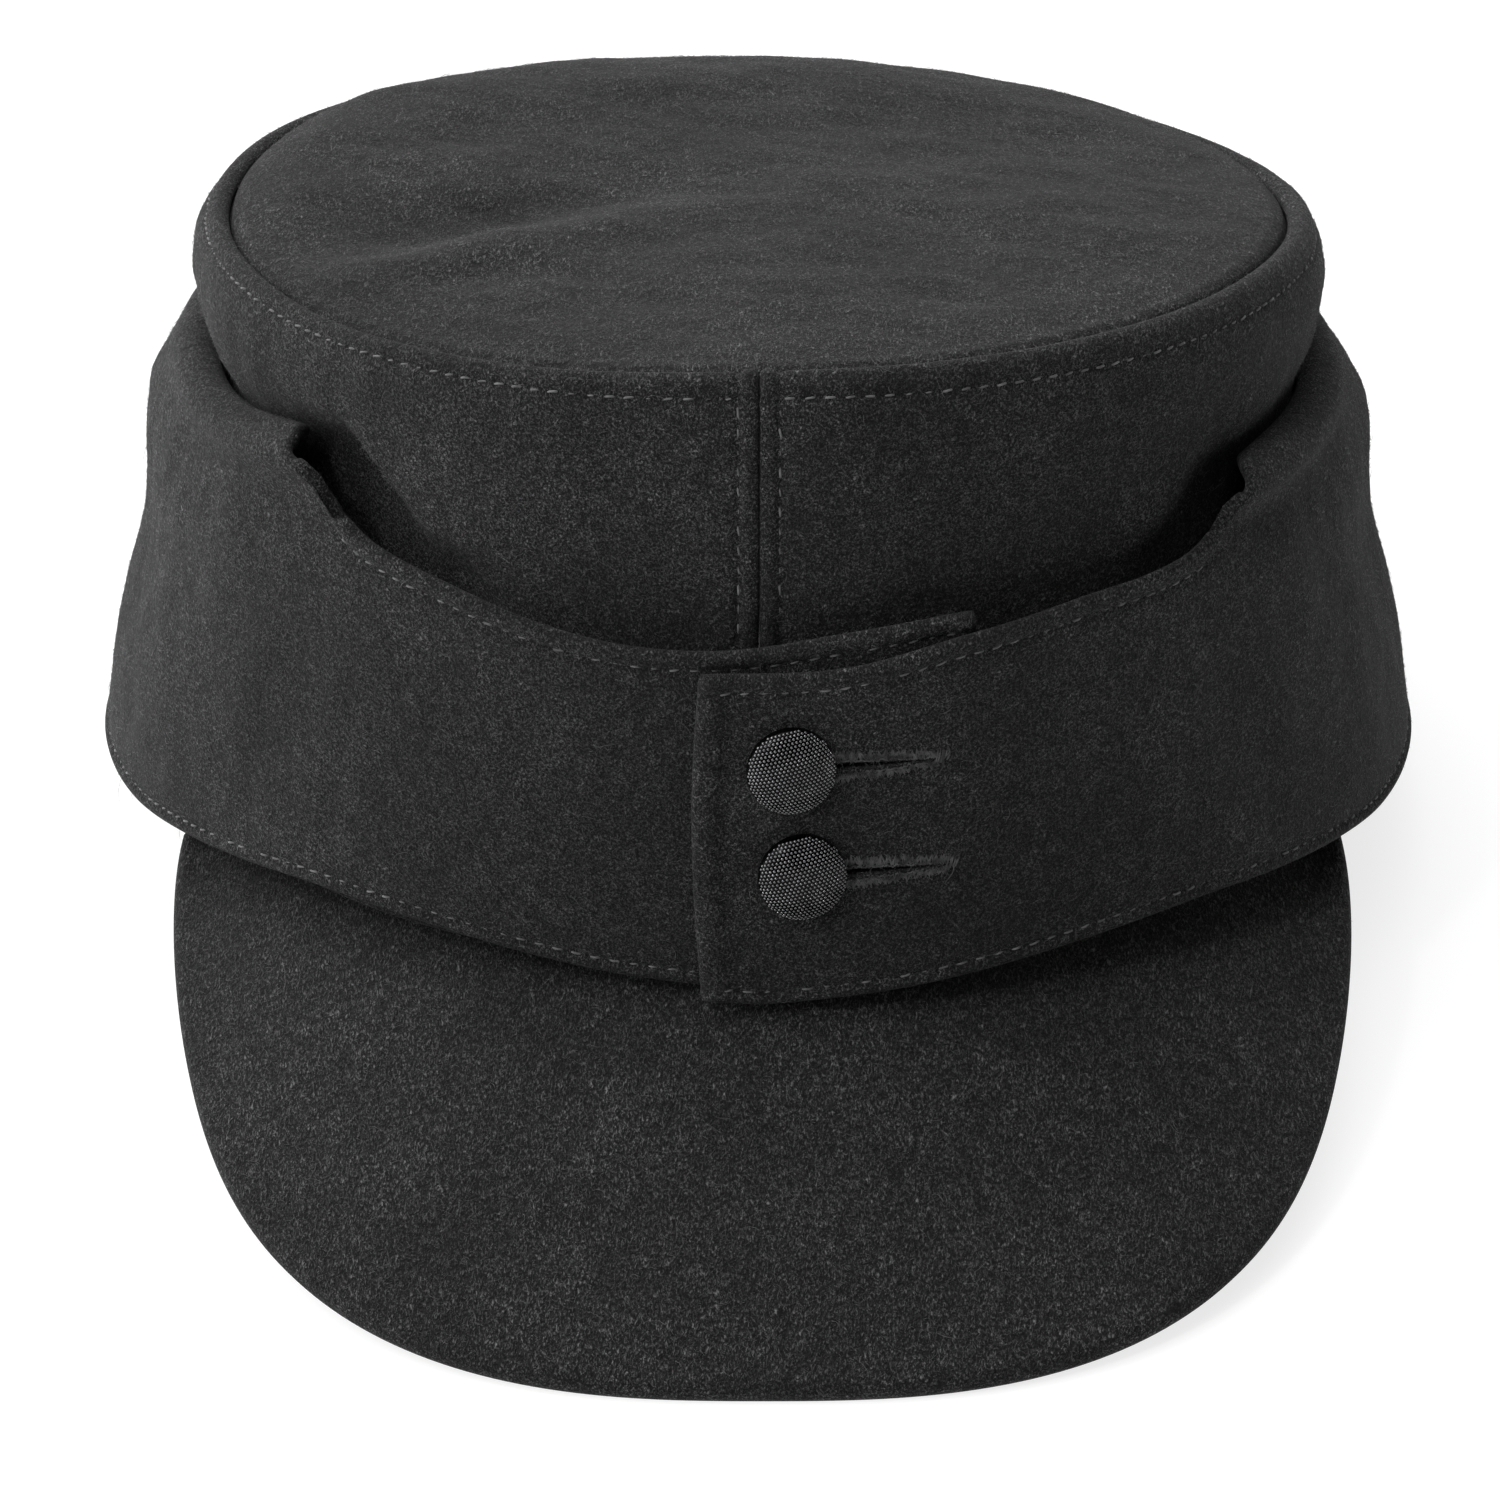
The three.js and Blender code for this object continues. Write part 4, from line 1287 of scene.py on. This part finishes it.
def cloth_piece(name, cloth, flat, held, node):
    """Adds a cloth piece, and keeps its cloth for the stitches and the nap, and its cut size."""
    piece = mesh_piece(name, cloth.vertices, cloth.faces, material_of("wool"), cloth.flat)
    settled(piece, "wool", node)
    cloth.piece = piece
    cloth.flat_size = flat
    cloth.held = held
    CLOTHS[node] = cloth
    return piece


def need(*nodes):
    missing = [n for n in nodes if n not in CLOTHS]
    if missing:
        raise RuntimeError(f"Make {', '.join(missing)} first")


# Operators, one for each piece or group of like pieces


class CrownTop(bpy.types.Operator):
    """Make the oval top panel"""

    bl_idname = "field_cap.crown_top"
    bl_label = "Top panel"

    def execute(self, context):
        cloth = crown_top(context.scene.cap_sizes)
        cloth_piece("crown_top_cloth", cloth, CUT_SIZE["crown_top"], "stretched", "crown_top")
        return {"FINISHED"}


class CrownSides(bpy.types.Operator):
    """Make the two halves of the crown's wall"""

    bl_idname = "field_cap.crown_sides"
    bl_label = "Crown sides"

    def execute(self, context):
        for side, hand in ((-1, "left"), (1, "right")):
            cloth, node = crown_side(side, context.scene.cap_sizes), f"crown_side_{hand}"
            cloth_piece(node + "_cloth", cloth, CUT_SIZE["crown_side"], "stretched", node)
        return {"FINISHED"}


class Flaps(bpy.types.Operator):
    """Make the two fold-up flaps"""

    bl_idname = "field_cap.flaps"
    bl_label = "Flaps"

    def execute(self, context):
        for flap in (FLAP_UNDER, FLAP_OVER):
            cloth = flap_cloth(flap, context.scene.cap_sizes)
            cloth_piece(flap["name"] + "_cloth", cloth, CUT_SIZE["flap"], "folded", flap["name"])
        return {"FINISHED"}


class Peak(bpy.types.Operator):
    """Make the covered peak"""

    bl_idname = "field_cap.peak"
    bl_label = "Peak"

    def execute(self, context):
        piece = cloth_piece("peak_cloth", peak_cloth(context.scene.cap_sizes), None, None, "peak")
        return {"FINISHED"}


def over_surface(x, z):
    """The outer surface of the flap that lies on top, at places across it, with its normals."""
    def at(x, z):
        half, back = (along(FLAP_LEG, "z", c, z) for c in ("half", "back"))
        angle = angle_of_x(x, half, FLAP_POWER)
        return oval(angle, half, FLAP_OVER["front"], back, z, FLAP_POWER, FLAP_MIDDLE_Y)

    x, z = np.broadcast_arrays(np.asarray(x, float), np.asarray(z, float))
    near = 0.05
    across = at(x + near, z) - at(x - near, z)
    up = at(x, z + near) - at(x, z - near)
    return at(x, z), unit(np.cross(across, up))


class Buttonholes(bpy.types.Operator):
    """Cut the two slits and sew their edges"""

    bl_idname = "field_cap.buttonholes"
    bl_label = "Buttonholes"

    def execute(self, context):
        need("flap_over")
        sizes = context.scene.cap_sizes
        parts = []
        for x, z in zip(BUTTON_X, BUTTON_Z):
            cut_slit(CLOTHS["flap_over"].piece, x + SLIT["start"], z)
            parts += buttonhole_threads(x + SLIT["start"], z, sizes)
        piece = mesh_piece("buttonhole_threads", *joined(parts), material_of("hole_thread"))
        settled(piece, "wool")
        return {"FINISHED"}


def slit_half(share):
    """Half the slit's opening along its length: widest near the button, closed at its far end."""
    bulge = SLIT["half_width"] * np.sin(np.pi * np.clip(share, 0, 1)) ** SLIT["roundness"]
    return bulge * (SLIT["wide"] - SLIT["narrows"] * share)


def cut_slit(cloth, start_x, z):
    """Cuts one slit through the cloth with a lens-shaped cutter."""
    bpy.ops.object.select_all(action="DESELECT")
    bpy.ops.mesh.primitive_cylinder_add(vertices=48, radius=1.0, depth=1.0)
    cutter = bpy.context.object
    middle, length = start_x + SLIT["length"] / 2, SLIT["length"]
    for vertex in cutter.data.vertices:
        share = (vertex.co.x + 1) / 2
        place, _ = over_surface(middle + vertex.co.x * length / 2, z)
        half = float(slit_half(share)) * (1 if vertex.co.y > 0 else -1)
        inward = -SLIT["in_front"] if vertex.co.z > 0 else SLIT["behind"]
        vertex.co = CAP_TO_ROW @ Vector((place[0], place[1] + inward, place[2] + half))
    bpy.ops.object.mode_set(mode="EDIT")
    bpy.ops.mesh.select_all(action="SELECT")
    bpy.ops.mesh.remove_doubles(threshold=1e-6)
    bpy.ops.mesh.normals_make_consistent(inside=False)
    bpy.ops.object.mode_set(mode="OBJECT")
    slit = cloth.modifiers.new("slit", "BOOLEAN")
    slit.operation = "DIFFERENCE"
    slit.solver = "EXACT"
    slit.object = cutter
    bpy.context.view_layer.objects.active = cloth
    bpy.ops.object.modifier_apply(modifier=slit.name)
    bpy.data.objects.remove(cutter)


def buttonhole_threads(start_x, z, sizes):
    """The sewn edge of one buttonhole: a rough band along each side, a bar at the end and loose ends."""
    draws = np.random.default_rng(sizes.seed + round(10 * z))
    radius = sizes.hole_thread / MM / 2
    length = SLIT["length"] + BAND_PAST
    count = round(length / ZIGZAG["tooth"])
    parts = []
    for way, (apart, wide) in BANDS.items():
        for layer in range(2):
            tooth = np.arange(2 * count + 1)
            share = tooth / (2 * count)
            x = start_x + share * length + draws.normal(0, ZIGZAG["stray"], len(tooth))
            inner = slit_half(share) + ZIGZAG["off"] + apart * (1 - share)
            inner = inner + draws.uniform(0, ZIGZAG["off_by"], len(tooth))
            width = wide * (1 - ZIGZAG["narrows"] * share) * draws.uniform(*ZIGZAG["width"], len(tooth))
            place, normal = over_surface(x, z + way * (inner + width * ((tooth + layer) % 2)))
            lift = draws.uniform(*ZIGZAG["lift"], (len(tooth), 1))
            parts.append(tube(smoothed(place + normal * lift), smoothed(normal), radius))
        share = np.linspace(0, 1, 3 * count)
        wobble = draws.normal(0, RIDGE["wobble"], len(share))
        off = slit_half(share) + RIDGE["off"] + apart * (1 - share) + wobble
        place, normal = over_surface(start_x + share * length, z + way * off)
        lift = RIDGE["lift"] + RIDGE["lift_share"] * wobble[:, None]
        parts.append(tube(place + normal * lift, normal, radius))
    end_x = start_x + length
    for i in range(BAR["count"]):
        bar = np.linspace(-1, 1, BAR["points"])
        x = end_x - BAR["back"] + BAR["pitch"] * i + BAR["lean"] * bar + draws.normal(0, BAR["stray"][0])
        half = BAR["half"][0] - BAR["half"][1] * i
        place, normal = over_surface(x, z + BAR["middle"] + half * bar + draws.normal(0, BAR["stray"][1]))
        lift = BAR["lift"][0] - BAR["lift"][1] * bar[:, None] ** 2
        parts.append(tube(place + normal * lift, normal, radius))
    for drop in LOOSE_END["drops"]:
        run = np.linspace(0, 1, LOOSE_END["points"])
        curl, turns = LOOSE_END["curl"]
        x = end_x + LOOSE_END["start"] + LOOSE_END["aside"] * run * np.sign(drop)
        place, normal = over_surface(x + curl * np.sin(turns * run), z + drop * run)
        low, rise, turns = LOOSE_END["lift"]
        lift = low + rise * np.sin(turns * run)[:, None]
        parts.append(tube(place + normal * lift, normal, LOOSE_END["radius"] * radius))
    return parts


def smoothed(points):
    """A line with two more points put in between each two."""
    index = np.arange(len(points))
    return resampled(points, np.linspace(0, index[-1], 3 * index[-1] + 1), index)


class Buttons(bpy.types.Operator):
    """Make the two pebbled metal buttons"""

    bl_idname = "field_cap.buttons"
    bl_label = "Buttons"

    def execute(self, context):
        sizes = context.scene.cap_sizes
        for i, name in enumerate(BUTTON_NAMES):
            piece = button(name + "_metal", sizes)
            place, _ = over_surface(BUTTON_X[i], BUTTON_Z[i])
            turn = Matrix.Rotation(BUTTON_TURN, 4, "Z") @ Matrix.Rotation(math.pi / 2, 4, "X")
            upright = turn @ Matrix.Scale(1 / MM, 4)
            piece.data.transform(CAP_TO_ROW @ Matrix.Translation(Vector(place)) @ upright)
            settled(piece, "button_metal", name)
        return {"FINISHED"}


def button(name, sizes):
    """A button standing on its shank along +Z, in metres, with its face's grains."""
    radius, dome = sizes.button_radius, sizes.button_dome
    shank = BUTTON["shank_radius"] * MM
    foot = -BUTTON["shank_depth"] * MM
    bpy.ops.object.select_all(action="DESELECT")
    bpy.ops.mesh.primitive_circle_add(
        vertices=BUTTON["sides"], radius=shank, fill_type="NGON", location=(0, 0, foot))
    piece = bpy.context.object
    piece.name = name
    piece.data.name = name
    bpy.ops.object.transform_apply(location=True)
    rim = [(radius - inset * MM, height * MM) for inset, height in BUTTON["rim"]]
    inner, base = radius - BUTTON["dome_in"] * MM, rim[-1][1]
    turns = [math.pi / 2 * step / BUTTON["dome_steps"] for step in range(1, BUTTON["dome_steps"])]
    over = [(inner * math.cos(turn), base + dome * math.sin(turn)) for turn in turns]
    bpy.ops.object.mode_set(mode="EDIT")
    bpy.ops.mesh.select_all(action="SELECT")
    at = (shank, foot)
    for ring in ((shank, rim[0][1]), *rim, *over):
        bpy.ops.mesh.extrude_region_move(TRANSFORM_OT_translate={"value": (0, 0, ring[1] - at[1])})
        bpy.ops.transform.resize(value=(ring[0] / at[0], ring[0] / at[0], 1))
        at = ring
    bpy.ops.mesh.inset(thickness=BUTTON["flat_top"] * at[0])
    bpy.ops.mesh.select_all(action="SELECT")
    bpy.ops.mesh.normals_make_consistent(inside=False)
    bpy.ops.object.mode_set(mode="OBJECT")
    bpy.ops.object.shade_smooth_by_angle(angle=BUTTON["smooth_below"])
    # The disc between the grains takes the darkened metal: painted shade in the hollows between them
    piece.data.materials.append(material_of("metal_painted_shade"))
    grains = grain_field(name, inner, dome, base, sizes)
    bpy.ops.object.select_all(action="DESELECT")
    grains.select_set(True)
    piece.select_set(True)
    bpy.context.view_layer.objects.active = piece
    bpy.ops.object.join()
    return piece


def grain_field(name, radius, dome, base, sizes):
    """Small grains over a domed face, in rows a little turned, each one pointing off the dome."""
    pitch = sizes.grain_pitch
    bpy.ops.object.select_all(action="DESELECT")
    bpy.ops.mesh.primitive_ico_sphere_add(subdivisions=2, radius=GRAIN["radius"] * pitch)
    one = bpy.context.object
    ball = np.array([v.co for v in one.data.vertices]) * (1, 1, GRAIN["height"])
    triangles = np.array([p.vertices for p in one.data.polygons])
    turn = np.linspace(0, math.pi / 2, 60)
    profile = np.stack([radius * np.sin(turn), dome * np.cos(turn), 0 * turn], -1)
    length = lengths_along(profile)
    rows = int(length[-1] / pitch) + 1
    parts = []
    for i in range(-rows, rows + 1):
        for j in range(-rows, rows + 1):
            x, y = pitch * (i + 0.5 * (j % 2)), pitch * j * math.sqrt(3) / 2
            reach = math.hypot(x, y)
            if reach > length[-1] - GRAIN["margin"] * pitch:
                continue
            at = math.atan2(y, x) + GRAIN["turn"]
            face_turn = np.interp(reach, length, turn)
            r, z = radius * math.sin(face_turn), dome * math.cos(face_turn)
            x, y = r * math.cos(at), r * math.sin(at)
            up = Vector((x / radius**2, y / radius**2, z / dome**2))
            spin = np.array(up.to_track_quat("Z", "Y").to_matrix())
            parts.append((ball @ spin.T + (x, y, base + z), triangles))
    vertices, faces = joined(parts)
    mesh = bpy.data.meshes.new(name + "_grains")
    mesh.from_pydata(vertices.tolist(), [], faces.tolist())
    mesh.polygons.foreach_set("use_smooth", np.ones(len(mesh.polygons), bool))
    mesh.materials.append(material_of("metal"))
    bpy.data.objects.remove(one)
    grains = bpy.data.objects.new(name + "_grains", mesh)
    bpy.context.scene.collection.objects.link(grains)
    return grains


class Stitches(bpy.types.Operator):
    """Sew the rows of topstitches"""

    bl_idname = "field_cap.stitches"
    bl_label = "Topstitches"

    def execute(self, context):
        need("crown_side_left", "crown_side_right", "flap_under", "flap_over")
        sizes = context.scene.cap_sizes
        draws = np.random.default_rng(sizes.seed)
        for node, cloth in CLOTHS.items():
            if not cloth.stitched:
                continue
            pitch, radius = sizes.stitch_pitch / MM, sizes.thread / MM / 2
            rows = [stitches(*line_of(cloth, at), pitch, radius, draws) for at in cloth.stitched]
            cloth.stitches = mesh_piece(node + "_stitches", *joined(rows), material_of("thread"))
            settled(cloth.stitches, "wool")
        return {"FINISHED"}


class Nap(bpy.types.Operator):
    """Raise the wool's loose fibres"""

    bl_idname = "field_cap.nap"
    bl_label = "Nap"

    def execute(self, context):
        sizes = context.scene.cap_sizes
        need("crown_top", "crown_side_left", "crown_side_right", "flap_under", "flap_over", "peak")
        for i, (node, cloth) in enumerate(CLOTHS.items()):
            draws = np.random.default_rng(sizes.seed + i)
            vertices, faces, flat = nap_on(cloth, sizes, draws)
            cloth.nap = mesh_piece(node + "_nap", vertices, faces, material_of("nap"), flat)
            settled(cloth.nap, "wool")
        return {"FINISHED"}


def scattered(cloth, per_mm2, draws):
    """Random places on a cloth's napped faces, evenly by area, with its normals there."""
    faces = cloth.skin[cloth.napped]
    a, b, c, d = (cloth.top[faces[:, i]] for i in range(4))
    area = np.linalg.norm(np.cross(c - a, d - b), axis=1) / 2
    chosen = draws.choice(len(faces), round(area.sum() * per_mm2), p=area / area.sum())
    u, v = draws.uniform(size=(2, len(chosen), 1))
    weights = [(1 - u) * (1 - v), u * (1 - v), u * v, (1 - u) * v]
    corners = faces[chosen]
    place = sum(w * cloth.top[corners[:, i]] for i, w in enumerate(weights))
    return place, unit(sum(w * cloth.normals[corners[:, i]] for i, w in enumerate(weights)))


def across_cloth(normal, draws):
    """A random direction along the cloth at each place."""
    sideways = draws.normal(size=normal.shape)
    return unit(sideways - normal * (sideways * normal).sum(-1, keepdims=True))


def map_cells(count, corners, low, high):
    """Gives each of many like fibres its own cell of the texture map, between two heights of it."""
    side = math.ceil(math.sqrt(count))
    cell = np.arange(count)
    corner = np.stack([cell % side, cell // side], -1)[:, None]
    flat = ((corner + corners) / side).reshape(-1, 2)
    return flat * (1, high - low) + (0, low)


def slivers(cloth, sizes, draws):
    """Short pointed fibres, each a closed sliver of four faces that leans over the cloth."""
    place, normal = scattered(cloth, sizes.nap_per_mm2, draws)
    count = len(place)
    lean = np.radians(draws.uniform(*SLIVER["lean"], (count, 1)))
    direction = across_cloth(normal, draws) * np.cos(lean) + normal * np.sin(lean)
    length = sizes.nap_length / MM * draws.uniform(*SLIVER["length"], (count, 1))
    beside = unit(np.cross(direction, normal))
    above = np.cross(beside, direction)
    radius = sizes.nap_radius / MM
    root = place - normal * SLIVER["root"]
    base = [root + radius * (beside * math.cos(t) + above * math.sin(t)) for t in THREE_WAYS]
    vertices = np.stack([*base, root + direction * length], 1).reshape(-1, 3)
    first = 4 * np.arange(count)[:, None, None]
    faces = (first + np.array([[0, 1, 2], [0, 3, 1], [1, 3, 2], [2, 3, 0]])).reshape(-1, 3)
    corners = np.array([[0.15, 0.15], [0.85, 0.15], [0.5, 0.85], [0.5, 0.4]])
    return vertices, faces, map_cells(count, corners, *SLIVER["map"])


def hairs(cloth, kind, sizes, draws):
    """Longer curled hairs, each a thin closed tube of three sides that ends in a point."""
    place, normal = scattered(cloth, kind["per_mm2"], draws)
    count = len(place)
    each = (count, 1, 1)
    length = kind["length"] * draws.uniform(*HAIR["length"], each)
    bend = draws.uniform(*HAIR["bend"], each) * draws.choice([-1, 1], each)
    ahead = across_cloth(normal, draws)[:, None]
    normal = normal[:, None]
    aside = np.cross(normal, ahead)
    run = np.linspace(0, 1, HAIR["steps"])[:, None]
    rise = kind["lift"] * draws.uniform(*HAIR["rise"], each) * np.sin(HAIR["arch"] * run)
    curl = length * (ahead * np.sin(bend * run) + aside * (1 - np.cos(bend * run))) / bend
    line = place[:, None] + curl + normal * (rise - HAIR["root"])
    onward = unit(np.gradient(line, axis=1))
    beside = unit(np.cross(onward, normal))
    above = np.cross(beside, onward)
    radius = HAIR["radius"] * sizes.nap_radius / MM * (1 - HAIR["thins"] * run[:-1])
    sides = [(beside * math.cos(t) + above * math.sin(t))[:, :-1] for t in THREE_WAYS]
    body = np.stack([line[:, :-1] + radius * side for side in sides], 2).reshape(count, -1, 3)
    vertices = np.concatenate([body, line[:, -1:]], 1)
    tip = 3 * (HAIR["steps"] - 1)
    last = tip - 3
    pairs = ((0, 1), (1, 2), (2, 0))
    faces = [[0, 1, 2]]
    for ring in range(0, last, 3):
        for a, b in pairs:
            faces += [[ring + a, ring + 3 + a, ring + b], [ring + b, ring + 3 + a, ring + 3 + b]]
    faces += [[last + a, tip, last + b] for a, b in pairs]
    first = vertices.shape[1] * np.arange(count)[:, None, None]
    corners = [[0.15 + 0.3 * (i % 3), 0.1 + 0.2 * (i // 3)] for i in range(tip)] + [[0.5, 0.9]]
    flat = map_cells(count, np.array(corners), *kind["map"])
    return vertices.reshape(-1, 3), (first + np.array(faces)).reshape(-1, 3), flat


def nap_on(cloth, sizes, draws):
    """All the loose fibres of one piece of cloth."""
    kinds = [slivers(cloth, sizes, draws)]
    kinds += [hairs(cloth, kind, sizes, draws) for kind in (CURLS, STRAYS)]
    return *joined([kind[:2] for kind in kinds]), np.concatenate([kind[2] for kind in kinds])


class Declare(bpy.types.Operator):
    """Gather the stitches and nap sewn on each sheet of cloth, without using them"""

    bl_idname = "field_cap.declare"
    bl_label = "Cut sizes"

    def execute(self, context):
        for cloth in CLOTHS.values():
            if cloth.held is None:
                continue
            on_it = [p for p in (getattr(cloth, "stitches", None), getattr(cloth, "nap", None)) if p]
        return {"FINISHED"}


class Stage(bpy.types.Operator):
    """Lay the pale floor, and set the soft lights and the camera"""

    bl_idname = "field_cap.stage"
    bl_label = "Stage"

    def execute(self, context):
        finish = context.scene.cap_finish
        bpy.ops.object.select_all(action="DESELECT")
        bpy.ops.mesh.primitive_plane_add(size=FLOOR_SIZE, location=(0, 0, -FLOOR_DROP))
        floor = bpy.context.object
        floor.name = "floor"
        material, nodes, _ = new_material("pale_floor")
        filled(nodes["Principled BSDF"], {
            "Base Color": (*finish.floor, 1),
            "Roughness": 0.9,
            "Emission Color": (1, 1, 1, 1),
            "Emission Strength": FLOOR_GLOW,
        })
        floor.data.materials.append(material)
        context.scene.world = studio_world()
        light = bpy.data.lights.new("spark", "AREA")
        light.shape = "DISK"
        light.size = SPARK["size"]
        light.energy = SPARK["watts"]
        light.specular_factor = SPARK["gloss"]
        lamp = bpy.data.objects.new("spark", light)
        lamp.location = SPARK["place"]
        aim = Vector(SPARK["towards"]) - Vector(SPARK["place"])
        lamp.rotation_euler = aim.to_track_quat("-Z", "Y").to_euler()
        context.scene.collection.objects.link(lamp)
        camera = bpy.data.objects.new("camera", bpy.data.cameras.new("camera"))
        camera.data.lens = VIEW_LENS
        camera.data.clip_start, camera.data.clip_end = 0.05, 20
        back = Vector((0, -math.cos(VIEW_ELEVATION), math.sin(VIEW_ELEVATION)))
        camera.location = CAP_TO_ROW @ (VIEW_TARGET + VIEW_DISTANCE * back)
        camera.rotation_euler = (math.pi / 2 - VIEW_ELEVATION - REST_TILT, 0, 0)
        context.scene.collection.objects.link(camera)
        context.scene.camera = camera
        context.scene.view_settings.view_transform = "Standard"
        return {"FINISHED"}


def studio_world():
    """Soft light from all round, strongest from the upper left behind the cap."""
    world = bpy.data.worlds.new("studio")
    world.use_nodes = True
    nodes, links = world.node_tree.nodes, world.node_tree.links
    towards = nodes.new("ShaderNodeVectorMath")
    towards.operation = "DOT_PRODUCT"
    towards.inputs[1].default_value = LIGHT_FROM
    links.new(nodes.new("ShaderNodeTexCoord").outputs["Generated"], towards.inputs[0])
    strength = ranged(nodes, links, towards.outputs["Value"], 0.0, 1.0, LIGHT_DIM, LIGHT_BRIGHT)
    nodes["Background"].inputs["Color"].default_value = (1, 1, 1, 1)
    links.new(strength, nodes["Background"].inputs["Strength"])
    return world


class FieldCapPanel(bpy.types.Panel):
    """Lists the cap's pieces, sizes and colours"""

    bl_idname = "VIEW3D_PT_field_cap"
    bl_label = "Field cap"
    bl_space_type = "VIEW_3D"
    bl_region_type = "UI"
    bl_category = "Field cap"

    def draw(self, context):
        for operator in OPERATORS:
            self.layout.operator(operator.bl_idname)
        for group in (context.scene.cap_sizes, context.scene.cap_finish):
            for name in group.__annotations__:
                self.layout.prop(group, name)


OPERATORS = (Stage, CrownTop, CrownSides, Flaps, Peak, Buttonholes, Buttons, Stitches, Nap, Declare)
CLASSES = (CapSizes, CapFinish, *OPERATORS, FieldCapPanel)


def register():
    for each in CLASSES:
        bpy.utils.register_class(each)
    bpy.types.Scene.cap_sizes = PointerProperty(type=CapSizes)
    bpy.types.Scene.cap_finish = PointerProperty(type=CapFinish)


def unregister():
    del bpy.types.Scene.cap_sizes
    del bpy.types.Scene.cap_finish
    for each in reversed(CLASSES):
        bpy.utils.unregister_class(each)


def main():
    register()
    bpy.ops.field_cap.stage()
    bpy.ops.field_cap.crown_top()
    bpy.ops.field_cap.crown_sides()
    bpy.ops.field_cap.flaps()
    bpy.ops.field_cap.peak()
    bpy.ops.field_cap.buttonholes()
    bpy.ops.field_cap.buttons()
    bpy.ops.field_cap.stitches()
    bpy.ops.field_cap.nap()
    bpy.ops.field_cap.declare()


if __name__ == "__main__":
    main()
